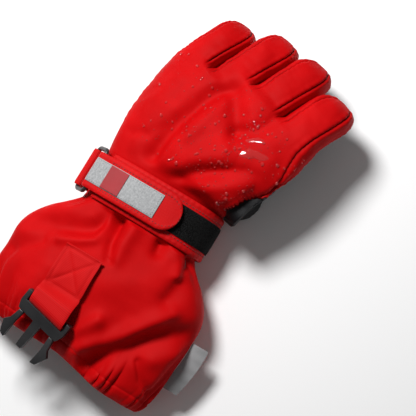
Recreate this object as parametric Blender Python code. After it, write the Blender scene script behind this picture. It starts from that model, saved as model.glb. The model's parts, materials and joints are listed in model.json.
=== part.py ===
"""A child's padded waterproof ski glove for the left hand, lying palm down with its thumb tucked under.

Every length is in millimetres and goes through MM to metres. +Y runs along the fingers, +X is the
index and thumb side, +Z is up. The origin is the middle of the wrist on the face the cuff rests on.

The hand and the gauntlet cuff are one tube. A section stands at each distance v along it: negative v
is towards the hem, zero is the wrist, and the last section is where the fingers begin. A section is a
flattened oval whose width is w. A layer at depth d has that oval drawn in by d all round.
"""

import math

import bmesh
import bpy
import numpy as np
from mathutils import Matrix, Vector

MM = 0.001
GAP = 0.4  # clearance between neighbouring pieces
OVAL = 2.6  # how square the hand's section is: 2 is an ellipse

# Fabric layers, each as (depth of its outer face, depth of its inner face).
SHELL_THICKNESS = 1.2
MEMBRANE_THICKNESS = 0.5
WADDING_THICKNESS = 3.2
LINING_THICKNESS = 0.8
SHELL = (0.0, SHELL_THICKNESS)
MEMBRANE = (SHELL[1] + GAP, SHELL[1] + GAP + MEMBRANE_THICKNESS)
WADDING = (MEMBRANE[1] + GAP, MEMBRANE[1] + GAP + WADDING_THICKNESS)
LINING = (WADDING[1] + GAP, WADDING[1] + GAP + LINING_THICKNESS)

# The fingers, from the index inwards: width, length past the hinge, drop of the tip, hinge's y.
FINGER_SIZES = {
    "index": (29.0, 37.5, 9.0, 101.0),
    "middle": (27.4, 41.0, 10.0, 101.0),
    "ring": (25.4, 38.0, 10.0, 97.0),
    "pinky": (24.0, 31.0, 9.0, 88.0),
}
FINGER_GAP = 0.8
FINGER_HALF_HEIGHT = 13.2
FINGER_OVAL = 2.3
FINGER_DOME = 14.0  # length of the rounded tip
TIP_WIDTH_LOSS = 0.45  # how much of its width the finger has lost at the very tip
INDEX_EDGE_X = 34.5

# The wrist and cuff.
WRIST_TURN = math.radians(24.5)  # the cuff leaves the hand's line by this much
WRIST_HALF_WIDTH = 43.0
WRIST_HEIGHT = 42.0
CUFF_LENGTH = 110.0
CUFF_HALF_WIDTH = 68.0
CUFF_HEIGHT = 46.0
HEM_HEIGHT = 34.0
SEAM_V = 17.0  # where the cuff is sewn to the hand
HAND_ROLL = math.tan(math.radians(12.0))  # the index side stands higher, on the thumb
FLOOR_SINK = 1.5  # the flat underside is this much of the oval, cut off
HAND_THICKNESS = 33.2
PALM_DIP = 3.7  # the palm's middle hangs this far below the top of the thumb, which the roll clears
WRIST_ELASTIC_HALF_WIDTH = 5.0

# The thumb, which lies under the palm and swings about an upright axis through its root.
THUMB_ROOT_X = 23.0
THUMB_ROOT_RADIUS = 16.0
THUMB_CUFF_CLEARANCE = 3.0
THUMB_ROOT_V = SEAM_V + THUMB_ROOT_RADIUS + THUMB_CUFF_CLEARANCE
THUMB_ROOT = (
    THUMB_ROOT_X,
    (THUMB_ROOT_V + math.sin(WRIST_TURN) * THUMB_ROOT_X) / math.cos(WRIST_TURN),
)
THUMB_TURN = math.radians(24.0)
THUMB_LENGTH = 46.0
THUMB_TIP_HALF_WIDTH = 12.5
THUMB_HALF_HEIGHT = 11.0
THUMB_OPENING_RADIUS = 8.5
PALM_UNDERSIDE = 2 * THUMB_HALF_HEIGHT - PALM_DIP
HAND_TOP = PALM_UNDERSIDE + HAND_THICKNESS

# The wrist strap, its ring and what is on it. Offsets are heights above the cuff's shell.
STRAP_BAND_WIDTH = 31.0
TAB_WIDTH = 25.0
LOOP_TAPE_WIDTH = 18.0
HOOK_TAPE_WIDTH = 16.0
REFLECTIVE_WIDTH = 16.5
BADGE_SIZE = 11.4
BAND_THICKNESS = 1.1
TAPE_THICKNESS = 0.8
TAB_THICKNESS = 1.2
REFLECTIVE_THICKNESS = 0.4
RING_WIRE_RADIUS = 1.5
RING_OFFSET = 5.2
RING_ANGLES = (math.radians(166), math.radians(140))  # of the anchored bar and of the strap's bar
RING_SIDE_CLEARANCE = 0.8
RING_CORNER_RADIUS = 2.2
ANCHOR_THICKNESS = 1.1
TAB_TIP_W = 22.0
REFLECTIVE_W = (-30.0, 5.0)
BADGE_W = (-25.0, -25.0 + BADGE_SIZE)
LOOP_TAPE_START_W = -32.0
ANCHOR_WIDTH = 26.0

# The clip that joins the pair of gloves: a webbing patch on the cuff and a side-release plug.
WEBBING_WIDTH = 26.0
WEBBING_THICKNESS = 1.6
PATCH_V = (-75.0, -49.0)
PATCH_W = -15.0
BUCKLE_BAR_V = -89.0
BUCKLE_TURN = math.radians(-12.0)
BUCKLE_TILT = math.radians(14.0)
BUCKLE_THICKNESS = 5.0
BUCKLE_BAR_RADIUS = 1.6
BUCKLE_WALL = 3.0
BUCKLE_BODY_LENGTH = 7.0
BUCKLE_SLOT_CLEARANCE = 1.6
BUCKLE_LIFT = 3.0  # how far the webbing holds the clip's bar off the cuff
TONGUE_LENGTH = 19.0
TONGUE_HALF_WIDTH = 2.0
PRONG_THINNER = 0.5  # a prong stands back from the frame's faces by this much
WEBBING_SIDE_CLEARANCE = 1.8
PATCH_LIFT = 1.2

TAG_V = (-94.0, -61.0)
TAG_WIDTH = 10.5
TAG_THICKNESS = 0.8

EDGE_STATIONS = (1.0, 0.985, 0.92, 0.75)
INDEX_SEAM = 2  # the station where the back ends and the side panel begins

RED_SHELL = ((0.62, 0.018, 0.018), 0.62, 0.0)
RED_WEBBING = ((0.5, 0.014, 0.014), 0.7, 0.0)
BLACK_PALM = ((0.018, 0.018, 0.019), 0.55, 0.0)
BLACK_TAPE = ((0.012, 0.012, 0.012), 0.9, 0.0)
BLACK_PLASTIC = ((0.02, 0.02, 0.021), 0.35, 0.0)
GREY_TAPE = ((0.42, 0.43, 0.44), 0.38, 0.35)
BADGE_RED = ((0.3, 0.02, 0.03), 0.6, 0.0)
GREY_SATIN = ((0.3, 0.3, 0.31), 0.5, 0.0)
WHITE_WADDING = ((0.8, 0.8, 0.78), 0.95, 0.0)
GREY_MEMBRANE = ((0.5, 0.55, 0.58), 0.5, 0.0)
DARK_LINING = ((0.03, 0.03, 0.035), 0.95, 0.0)
ELASTIC = ((0.75, 0.75, 0.73), 0.8, 0.0)


def material(name, look):
    colour, roughness, metallic = look
    made = bpy.data.materials.new(name)
    made.use_nodes = True
    shader = made.node_tree.nodes["Principled BSDF"]
    shader.inputs["Base Color"].default_value = (*colour, 1.0)
    shader.inputs["Roughness"].default_value = roughness
    shader.inputs["Metallic"].default_value = metallic
    made.diffuse_color = (*colour, 1.0)
    return made


def finish(bm, name, look, hollow=()):
    """Turns a bmesh in millimetres into a named object. Faces point outwards, those of a hollow inwards."""
    bmesh.ops.recalc_face_normals(bm, faces=bm.faces)
    bmesh.ops.reverse_faces(bm, faces=list(hollow))
    bmesh.ops.scale(bm, vec=(MM, MM, MM), verts=bm.verts)
    mesh = bpy.data.meshes.new(name)
    bm.to_mesh(mesh)
    bm.free()
    mesh.shade_smooth()
    mesh.set_sharp_from_angle(angle=math.radians(50))
    obj = bpy.data.objects.new(name, mesh)
    obj.data.materials.append(material(name, look))
    bpy.context.scene.collection.objects.link(obj)
    return obj


def grid_faces(bm, grid, cyclic=False):
    rows = range(len(grid) - 1)
    columns = range(len(grid[0]) if cyclic else len(grid[0]) - 1)
    for i in rows:
        for j in columns:
            k = (j + 1) % len(grid[0])
            corners = [grid[i][j], grid[i][k], grid[i + 1][k], grid[i + 1][j]]
            bm.faces.new(corners)


def closed_stack(bm, rings):
    """The faces of a tube that closes flat on a line at an end where its rings have no height."""
    old = set(bm.faces)
    grid_faces(bm, [[bm.verts.new(point) for point in ring] for ring in rings], cyclic=True)
    return set(bm.faces) - old


def slab(name, outer, inner, look):
    """A closed piece between two sheets of points, shaped (rows, columns, 3), joined along all four edges."""
    bm = bmesh.new()
    sheets = [[[bm.verts.new(point) for point in row] for row in sheet] for sheet in (outer, inner)]
    for sheet in sheets:
        grid_faces(bm, sheet)
    top, bottom = sheets
    edges = (
        (top[0], bottom[0]),
        (top[-1], bottom[-1]),
        ([row[0] for row in top], [row[0] for row in bottom]),
        ([row[-1] for row in top], [row[-1] for row in bottom]),
    )
    for a, b in edges:
        grid_faces(bm, [a, b])
    return finish(bm, name, look)


def sleeve(name, outer, inner, look, closed_tip=False):
    """A closed tube wall between two stacks of rings. With closed_tip each stack ends flat on a line."""
    bm = bmesh.new()
    stacks = [[[bm.verts.new(point) for point in ring] for ring in stack] for stack in (outer, inner)]
    for stack in stacks:
        grid_faces(bm, stack, cyclic=True)
    grid_faces(bm, [stacks[0][0], stacks[1][0]], cyclic=True)
    if not closed_tip:
        grid_faces(bm, [stacks[0][-1], stacks[1][-1]], cyclic=True)
        return finish(bm, name, look)
    weld(bm)
    return finish(bm, name, look)


def weld(bm):
    bmesh.ops.remove_doubles(bm, verts=bm.verts, dist=1e-4)
    bmesh.ops.dissolve_degenerate(bm, dist=1e-4, edges=bm.edges)


def drawn_in(points, start=True, end=True):
    """A row of points whose two ends are pulled in by half the gap, so that neighbours stay apart."""
    points = np.array(points, float)
    for wanted, here, beside in ((start, 0, 1), (end, -1, -2)):
        if wanted:
            way = points[beside] - points[here]
            points[here] += way / np.linalg.norm(way) * GAP / 2
    return points


def finger_columns():
    """Each finger's middle x, half width, length, drop and hinge y."""
    columns = {}
    edge = INDEX_EDGE_X
    for name, (width, length, drop, hinge_y) in FINGER_SIZES.items():
        columns[name] = (edge - width / 2, width / 2, length, drop, hinge_y)
        edge -= width + FINGER_GAP
    return columns


COLUMNS = finger_columns()
HAND_LEFT_X = COLUMNS["pinky"][0] - COLUMNS["pinky"][1]
HAND_MIDDLE_X = (INDEX_EDGE_X + HAND_LEFT_X) / 2
HAND_HALF_WIDTH = (INDEX_EDGE_X - HAND_LEFT_X) / 2


def top_stations():
    """Where each section's points stand across its width: close together at the sides and between fingers."""
    stations = list(EDGE_STATIONS)
    for name, beside in (("index", "middle"), ("middle", "ring"), ("ring", "pinky")):
        middle, half, *_ = COLUMNS[name]
        for x in (middle - half, middle - half - FINGER_GAP):
            stations.append((x - HAND_MIDDLE_X) / HAND_HALF_WIDTH)
        if beside != "pinky":
            stations.append((COLUMNS[beside][0] - HAND_MIDDLE_X) / HAND_HALF_WIDTH)
    return stations + [-c for c in EDGE_STATIONS[::-1]]


TOP_STATIONS = top_stations()
CUFF_WAY = np.array([math.sin(WRIST_TURN), -math.cos(WRIST_TURN)])
ACROSS_WRIST = np.array([math.cos(WRIST_TURN), math.sin(WRIST_TURN)])
HAND_ROOT_V = 104.0


def tube_rows():
    """v, middle x, middle y, turn, half width, underside, top and roll of each section that shapes the tube."""
    rows = []
    widths = (
        (1.0, 0.84, HEM_HEIGHT),
        (0.93, 0.9, HEM_HEIGHT + 5),
        (0.82, 0.955, CUFF_HEIGHT - 3),
        (0.57, 1.0, CUFF_HEIGHT),
        (0.4, 0.96, CUFF_HEIGHT),
        (0.29, 0.84, CUFF_HEIGHT - 1),
    )
    for share, width, top in widths:
        middle = CUFF_WAY * CUFF_LENGTH * share
        rows.append((-CUFF_LENGTH * share, *middle, WRIST_TURN, CUFF_HALF_WIDTH * width, -FLOOR_SINK, top, 0.0))
    for v in (-18.0, 0.0, SEAM_V):
        middle = -CUFF_WAY * v
        rows.append((v, *middle, WRIST_TURN, WRIST_HALF_WIDTH, -FLOOR_SINK, WRIST_HEIGHT, 0.0))
    x = HAND_MIDDLE_X
    half = HAND_HALF_WIDTH
    low = PALM_UNDERSIDE
    rows += [
        (30.0, x + 9.0, 28.0, math.radians(11), half - 6.5, low - 2.5, HAND_TOP - 3, HAND_ROLL * 0.7),
        (48.0, x + 4.0, 45.5, math.radians(4), half - 4.0, low, HAND_TOP, HAND_ROLL * 0.9),
        (65.0, x + 1.0, 62.0, 0.0, half - 1.0, low, HAND_TOP, HAND_ROLL),
        (86.0, x, 83.0, 0.0, half, low, HAND_TOP - 2, HAND_ROLL),
        (HAND_ROOT_V, x, 101.0, 0.0, half, low, HAND_TOP - 4, HAND_ROLL),
    ]
    return np.array(rows)


ROWS = tube_rows()


def section(v):
    """The eight numbers of the section at v, on a smooth curve through the tube's rows."""
    keys = ROWS[:, 0]
    at = int(np.clip(np.searchsorted(keys, v) - 1, 0, len(keys) - 2))
    span = keys[at + 1] - keys[at]
    t = (v - keys[at]) / span
    slopes = np.gradient(ROWS, keys, axis=0)
    first, last = ROWS[at], ROWS[at + 1]
    return (
        first * (2 * t**3 - 3 * t**2 + 1)
        + last * (3 * t**2 - 2 * t**3)
        + slopes[at] * span * (t**3 - 2 * t**2 + t)
        + slopes[at + 1] * span * (t**3 - t**2)
    )


def oval_height(c, power):
    return (1 - abs(c) ** power) ** (1 / power)


def tube_point(v, c, side, depth):
    """The point of a layer at station c of the upper (side 1) or lower (side -1) half of section v."""
    _, x, y, turn, half, low, top, roll = section(v)
    across = (half - depth) * c
    middle = (low + top) / 2
    rise = ((top - low) / 2 - depth) * oval_height(c, OVAL) * side
    z = max(middle + rise + across * roll, depth)
    return np.array([x + across * math.cos(turn), y + across * math.sin(turn), z])


def hinge_y_at(c):
    """The finger hinge's y in the column that station c belongs to on the outer shell."""
    x = HAND_MIDDLE_X + HAND_HALF_WIDTH * c
    for name in ("index", "middle", "ring"):
        middle, half, *_, hinge_y = COLUMNS[name]
        if x > middle - half - FINGER_GAP / 2:
            return hinge_y
    return COLUMNS["pinky"][4]


def tube_row(v, stations, depth, root=False):
    """One row of a layer: stations are (c, side) pairs. A root row ends just short of the finger hinges."""
    points = [tube_point(v, c, side, depth) for c, side in stations]
    if root:
        for point, (c, _) in zip(points, stations):
            point[1] = hinge_y_at(c) - GAP / 2
    return points


UPPER = [(c, 1) for c in TOP_STATIONS]
LOWER = [(c, -1) for c in TOP_STATIONS]
RING = UPPER + LOWER[-2:0:-1]
CUFF_VS = [-CUFF_LENGTH, -102.5, -94, -80, -63, -50, -38, -28, -18, 0, SEAM_V]
HAND_VS = [SEAM_V, 24, 31, 40, 50, 62, 74, 84]


def facet_row(v, stations, depth):
    """A row on the flat facet between the two of the cuff's own rows that v lies between."""
    low = max(known for known in CUFF_VS if known <= v)
    high = min(known for known in CUFF_VS if known > v)
    share = (v - low) / (high - low)
    first, last = (np.array(tube_row(known, stations, depth)) for known in (low, high))
    return first + (last - first) * share


def rows_between(vs, stations, depths, root=False, pull=True):
    """The outer and inner sheets of a layer over the sections vs, pulled in at its first and last section."""
    vs = list(vs)
    vs[0] += GAP / 2
    if not root:
        vs[-1] -= GAP / 2
    sheets = []
    for depth in depths:
        rows = [tube_row(v, stations, depth) for v in vs]
        if root:
            rows.append(tube_row(HAND_ROOT_V, stations, depth, root=True))
        sheets.append([drawn_in(row) if pull else np.array(row) for row in rows])
    return sheets


def make_hand():
    back = UPPER[INDEX_SEAM:]
    side = UPPER[INDEX_SEAM::-1] + LOWER[1 : INDEX_SEAM + 1]
    palm = LOWER[INDEX_SEAM:]
    slab("hand_back_shell", *rows_between(HAND_VS, back, SHELL, root=True), RED_SHELL)
    slab("hand_side_panel", *rows_between(HAND_VS, side, SHELL, root=True), RED_SHELL)
    slab("hand_palm_shell", *rows_between(HAND_VS, palm, SHELL, root=True), BLACK_PALM)
    patch = [(c, -1) for c in (0.3, 0.12, -0.072, -0.33, -0.5, -0.66, -0.8)]
    raised = (-GAP - 1.0, -GAP)
    slab("palm_patch", *rows_between((62, 70, 78, 86), patch, raised), BLACK_PALM)
    layers = (
        ("hand_membrane", MEMBRANE, GREY_MEMBRANE),
        ("hand_wadding", WADDING, WHITE_WADDING),
        ("hand_lining", LINING, DARK_LINING),
    )
    for name, depths, look in layers:
        sleeve(name, *rows_between(HAND_VS, RING, depths, root=True, pull=False), look)


CUFF_SHELL = (0.0, 1.0)
WRIST_ELASTIC_DEPTHS = (1.4, 2.5)
CUFF_LINING = (2.9, 3.7)
HEM_WIDTH = 8.5
HEM_INNER = (3.1, 4.0)
HEM_OUTER = (0.0, 0.9)
ELASTIC_DEPTHS = (1.3, 2.7)
HEM_FOLD = 0.9


def make_cuff():
    inland = [v for v in CUFF_VS if v > -CUFF_LENGTH + HEM_WIDTH]
    body = [-CUFF_LENGTH + HEM_WIDTH, *inland]
    slab("cuff_back_shell", *rows_between(body, UPPER, CUFF_SHELL), RED_SHELL)
    slab("cuff_palm_shell", *rows_between(body, LOWER, CUFF_SHELL), RED_SHELL)
    sleeve("cuff_lining", *rows_between(body, RING, CUFF_LINING, pull=False), DARK_LINING)
    make_hem()
    wrist = [(c, -1) for c in TOP_STATIONS[4:-4]]
    elastic_vs = (-WRIST_ELASTIC_HALF_WIDTH, 0.0, WRIST_ELASTIC_HALF_WIDTH)
    sheets = [[drawn_in(facet_row(v, wrist, depth)) for v in elastic_vs] for depth in WRIST_ELASTIC_DEPTHS]
    slab("wrist_elastic", *sheets, ELASTIC)


def make_hem():
    """The hem is a channel folded round its elastic: outer wall, fold at the edge, inner wall."""
    edge = -CUFF_LENGTH
    open_end = edge + HEM_WIDTH - GAP / 2
    profile = (
        (open_end, HEM_OUTER[0]),
        (edge + 1.5, HEM_OUTER[0]),
        (edge, HEM_OUTER[0] + 1.0),
        (edge, HEM_INNER[1] - 1.0),
        (edge + 1.5, HEM_INNER[1]),
        (open_end, HEM_INNER[1]),
        (open_end, HEM_INNER[0]),
        (edge + HEM_FOLD, HEM_INNER[0]),
        (edge + HEM_FOLD, HEM_OUTER[1]),
        (open_end, HEM_OUTER[1]),
    )
    bm = bmesh.new()
    rings = [[bm.verts.new(point) for point in tube_row(v, RING, depth)] for v, depth in profile]
    grid_faces(bm, rings + rings[:1], cyclic=True)
    finish(bm, "hem_channel", RED_SHELL)
    vs = (edge + HEM_FOLD + GAP / 2, open_end - 0.6)
    sleeve("hem_elastic", *rows_between(vs, RING, ELASTIC_DEPTHS, pull=False), ELASTIC)


FINGER_ANGLES = [math.radians(a) for a in (0, 34, 62, 90, 118, 146, 180, 214, 242, 270, 298, 326)]
FINGER_SHARES = (0.0, 0.33, 0.66, 1.0)
DOME_ANGLES = [math.radians(a) for a in (28, 46, 62, 76, 90)]
SIDE_END = 2  # how many dome rows a side wall has


def finger_rows(shape, depth):
    """Rows from root to tip as (y, half width, half height, middle z). The tip's last row is a flat line."""
    middle_x, half, length, drop, hinge_y, root_z = shape
    straight = length - FINGER_DOME
    rows = []
    for share in FINGER_SHARES:
        y = GAP / 2 + (straight - GAP / 2) * share
        rows.append((y, half - depth, FINGER_HALF_HEIGHT - depth))
    for angle in DOME_ANGLES:
        y = straight + (FINGER_DOME - depth) * math.sin(angle)
        wide = (half - depth) * (1 - TIP_WIDTH_LOSS * (1 - math.cos(angle)))
        rows.append((y, wide, (FINGER_HALF_HEIGHT - depth) * max(math.cos(angle), 0.0)))
    # The middle line sinks more steeply towards the tip.
    return [(hinge_y + y, a, b, root_z - drop * (y / length) ** 1.4) for y, a, b in rows]


def finger_ring(shape, row, angles):
    y, a, b, z = row
    power = 2 / FINGER_OVAL
    points = []
    for angle in angles:
        cos, sin = math.cos(angle), math.sin(angle)
        x = shape[0] + a * math.copysign(abs(cos) ** power, cos)
        points.append((x, y, z + b * math.copysign(abs(sin) ** power, sin)))
    return points


def finger_panel(name, shape, angles_of, row_count, lift, look):
    """A shell panel of a finger. angles_of gives a row's angles, and lift raises or lowers the whole panel."""
    sheets = []
    for depth in SHELL:
        rows = finger_rows(shape, depth)[:row_count]
        sheet = [drawn_in(finger_ring(shape, row, angles_of(i))) for i, row in enumerate(rows)]
        sheets.append([points + (0, 0, lift) for points in sheet])
    slab(name, *sheets, look)


def over_angles(mirror):
    """Angles of the back panel, which widens to take in the corners beyond the side walls."""
    narrow = [math.radians(a) for a in (34, 48, 62, 90, 118, 132, 146)]
    wide = [math.radians(a) for a in (1, 34, 62, 90, 118, 146, 179)]
    last_narrow = len(FINGER_SHARES) + SIDE_END

    def at(row):
        chosen = narrow if row < last_narrow else wide
        return [-a for a in chosen] if mirror else chosen

    return at


def make_finger(name):
    middle_x, half, length, drop, hinge_y = COLUMNS[name]
    *_, low, top, roll = section(HAND_ROOT_V)
    root_z = (low + top) / 2 + (middle_x - HAND_MIDDLE_X) * roll
    shape = (middle_x, half, length, drop, hinge_y, root_z)
    all_rows = len(FINGER_SHARES) + len(DOME_ANGLES)
    side_rows = len(FINGER_SHARES) + SIDE_END - 1
    inner_side = [math.radians(a) for a in (146, 163, 180, 197, 214)]
    outer_side = [math.radians(a) for a in (34, 17, 0, -17, -34)]
    node = f"{name}_finger"
    finger_panel(f"{node}_back", shape, over_angles(False), all_rows, GAP / 2, RED_SHELL)
    finger_panel(f"{node}_palm", shape, over_angles(True), all_rows, -GAP / 2, BLACK_PALM)
    finger_panel(f"{node}_inner_wall", shape, lambda row: inner_side, side_rows, 0, RED_SHELL)
    finger_panel(f"{node}_outer_wall", shape, lambda row: outer_side, side_rows, 0, RED_SHELL)
    for layer, depths, look in (("wadding", (SHELL[1] + GAP + 0.3, WADDING[1]), WHITE_WADDING),
                                ("lining", LINING, DARK_LINING)):
        stacks = [[finger_ring(shape, row, FINGER_ANGLES) for row in finger_rows(shape, d)] for d in depths]
        sleeve(f"{node}_{layer}", *stacks, look, closed_tip=True)


def thumb_rows(depth):
    """Rows of the thumb along its own line, from the back of its rounded root to its tip."""
    reach = THUMB_ROOT_RADIUS - depth
    rows = []
    for degrees in (-90, -68, -45, -22):
        angle = math.radians(degrees)
        wide = reach * (0.45 + 0.55 * math.cos(angle))
        rows.append((reach * math.sin(angle), wide, (THUMB_HALF_HEIGHT - depth) * max(math.cos(angle), 0.0)))
    for share in (0.0, 0.5, 1.0):
        wide = THUMB_ROOT_RADIUS + (THUMB_TIP_HALF_WIDTH - THUMB_ROOT_RADIUS) * share
        rows.append(((THUMB_LENGTH - FINGER_DOME) * share, wide - depth, THUMB_HALF_HEIGHT - depth))
    for angle in DOME_ANGLES:
        y = THUMB_LENGTH - FINGER_DOME + (FINGER_DOME - depth) * math.sin(angle)
        wide = (THUMB_TIP_HALF_WIDTH - depth) * (1 - TIP_WIDTH_LOSS * (1 - math.cos(angle)))
        rows.append((y, wide, (THUMB_HALF_HEIGHT - depth) * max(math.cos(angle), 0.0)))
    return rows


def thumb_ring(row, angles, depth):
    y, a, b = row
    middle_z = THUMB_HALF_HEIGHT - FLOOR_SINK / 2
    power = 2 / FINGER_OVAL
    turn = Matrix.Rotation(THUMB_TURN, 3, "Z")
    points = []
    for angle in angles:
        cos, sin = math.cos(angle), math.sin(angle)
        x = a * math.copysign(abs(cos) ** power, cos)
        z = max(middle_z + b * math.copysign(abs(sin) ** power, sin), depth)
        points.append(turn @ Vector((x, y, z)) + Vector((*THUMB_ROOT, 0)))
    return points


def opening_cutter(height, bottom):
    bm = bmesh.new()
    place = Matrix.Translation((*THUMB_ROOT, bottom + height / 2))
    bmesh.ops.create_cone(bm, cap_ends=True, segments=20, radius1=THUMB_OPENING_RADIUS,
                          radius2=THUMB_OPENING_RADIUS, depth=height, matrix=place)
    cutter = finish(bm, "thumb_opening_cutter", BLACK_PALM)
    cutter.hide_render = True
    cutter.display_type = "WIRE"
    return cutter


def cut(obj, cutter):
    difference = obj.modifiers.new("thumb opening", "BOOLEAN")
    difference.operation = "DIFFERENCE"
    difference.object = cutter


def make_thumb():
    back_angles = [math.radians(a) for a in (1, 34, 62, 90, 118, 146, 179)]
    sheets = {}
    for key, mirror in (("thumb_palm_panel", 1), ("thumb_back_panel", -1)):
        # The upper panel faces the palm. Both stay clear of each other by half a gap each way.
        layers = []
        for depth in SHELL:
            rows = [thumb_ring(row, [a * mirror for a in back_angles], depth) for row in thumb_rows(depth)]
            lift = GAP / 2 if mirror > 0 else 0.0
            layers.append([drawn_in(np.array(row) + (0, 0, lift)) for row in rows])
        sheets[key] = slab(key, *layers, BLACK_PALM)
    cutter = opening_cutter(60.0, THUMB_HALF_HEIGHT)
    cut(sheets["thumb_palm_panel"], cutter)
    for layer, depths, look in (("wadding", (SHELL[1] + GAP + 0.3, WADDING[1]), WHITE_WADDING),
                                ("lining", LINING, DARK_LINING)):
        # Depths under the shell keep the floor's flat cut as well.
        cut(thumb_layer(f"thumb_{layer}", depths, look), cutter)
    for name in ("hand_palm_shell", "hand_membrane", "hand_wadding", "hand_lining"):
        cut(bpy.data.objects[name], palm_cutter())


def thumb_layer(name, depths, look):
    """A pillow-shaped wall: both skins close on a line at the root and at the tip, joined by the opening."""
    bm = bmesh.new()
    mark = bm.faces.layers.int.new("inner skin")
    for skin, depth in enumerate(depths):
        for face in closed_stack(bm, [thumb_ring(row, FINGER_ANGLES, depth) for row in thumb_rows(depth)]):
            face[mark] = skin
    weld(bm)
    return finish(bm, name, look, hollow=[face for face in bm.faces if face[mark] == 1])


def palm_cutter():
    """A shared cutter that goes through the palm's layers only."""
    found = bpy.data.objects.get("palm_opening_cutter")
    if found:
        return found
    low = 2 * THUMB_HALF_HEIGHT - FLOOR_SINK / 2
    cutter = opening_cutter(14.0, low - 2.0)
    cutter.name = "palm_opening_cutter"
    return cutter


STRAP_ANGLES = [math.radians(a) for a in (-30, -12, 0, 12, 26, 40, 55, 70, 85, 100, 115, 128, 140)]


def wrist_outline(angle, offset):
    """A point (w, z) at this height above the wrist's oval, with angle 0 at the index side and 90 on top."""
    middle = (WRIST_HEIGHT - FLOOR_SINK) / 2
    power = 2 / OVAL
    half_height = (WRIST_HEIGHT + FLOOR_SINK) / 2
    cos, sin = math.cos(angle), math.sin(angle)
    w = (WRIST_HALF_WIDTH + offset) * math.copysign(abs(cos) ** power, cos)
    return np.array([w, middle + (half_height + offset) * math.copysign(abs(sin) ** power, sin)])


def angle_at(w):
    """The angle on the wrist's oval, above its middle, of the point at width w."""
    return math.acos(math.copysign(abs(w / WRIST_HALF_WIDTH) ** (OVAL / 2), w))


def wrist_place(w, z, v):
    x, y = ACROSS_WRIST * w - CUFF_WAY * v
    return (x, y, z)


def ribbon(name, inner, outer, half_widths, look, middle_v=0.0):
    """A flat strip that runs along two (w, z) paths, as wide each side of middle_v as half_widths say."""
    sheets = []
    for path in (outer, inner):
        rows = []
        for (w, z), half in zip(path, half_widths):
            rows.append([wrist_place(w, z, middle_v + side * half) for side in (-1, 1)])
        sheets.append(rows)
    return slab(name, *sheets, look)


def strip_on_wrist(name, start, end, offset, thickness, width, look):
    """A strip lying at one height above the wrist between two angles."""
    angles = [start, *[a for a in STRAP_ANGLES if start + 0.03 < a < end - 0.03], end]
    inner = [wrist_outline(a, offset) for a in angles]
    outer = [wrist_outline(a, offset + thickness) for a in angles]
    return ribbon(name, inner, outer, [width / 2] * len(angles), look)


def arc_round(centre, radius, angles):
    return [centre + radius * np.array([math.cos(a), math.sin(a)]) for a in angles]


def make_strap():
    band_low = GAP
    tape_low = band_low + BAND_THICKNESS + GAP
    hook_low = tape_low + TAPE_THICKNESS + GAP
    tab_low = hook_low + TAPE_THICKNESS + GAP
    shine_low = tab_low + TAB_THICKNESS + GAP
    badge_low = shine_low + REFLECTIVE_THICKNESS + GAP
    strip_on_wrist("strap_band", STRAP_ANGLES[0], math.radians(136), band_low, BAND_THICKNESS, STRAP_BAND_WIDTH,
                   RED_SHELL)
    strip_on_wrist("loop_tape", math.radians(-12), angle_at(LOOP_TAPE_START_W), tape_low, TAPE_THICKNESS,
                   LOOP_TAPE_WIDTH, BLACK_TAPE)
    strip_on_wrist("hook_tape", angle_at(TAB_TIP_W - 6), angle_at(LOOP_TAPE_START_W), hook_low, TAPE_THICKNESS,
                   HOOK_TAPE_WIDTH, BLACK_TAPE)
    strip_on_wrist("reflective_tape", angle_at(REFLECTIVE_W[1]), angle_at(REFLECTIVE_W[0]), shine_low,
                   REFLECTIVE_THICKNESS, REFLECTIVE_WIDTH, GREY_TAPE)
    strip_on_wrist("plain_badge", angle_at(BADGE_W[1]), angle_at(BADGE_W[0]), badge_low, REFLECTIVE_THICKNESS,
                   BADGE_SIZE + 4, BADGE_RED)
    make_tab(tab_low)
    make_ring()
    make_anchor()


def make_tab(tab_low):
    """The strap's free end: from under the ring's bar, round it, and back over the wrist to a round tip."""
    bar = wrist_outline(RING_ANGLES[1], RING_OFFSET)
    tip = angle_at(TAB_TIP_W)
    half = TAB_WIDTH / 2
    ends = ((0.0, 0.42), (0.02, 0.72), (0.06, 0.9), (0.12, 0.98))
    flat = [a for a in STRAP_ANGLES if tip + 0.2 < a < math.radians(129)]
    angles = [tip + share * 1.7 for share, _ in ends] + flat
    widths = [half * share for _, share in ends] + [half] * len(flat)
    paths = []
    for extra in (0.0, TAB_THICKNESS):
        radius = RING_WIRE_RADIUS + GAP + extra
        fold = [math.radians(a) for a in (80, 115, 150, 185, 220, 255, 285)]
        path = [wrist_outline(a, tab_low + extra) for a in angles]
        paths.append(path + arc_round(bar, radius, fold))
    ribbon("tab_strap", *paths, widths + [half] * 7, RED_SHELL)


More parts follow.
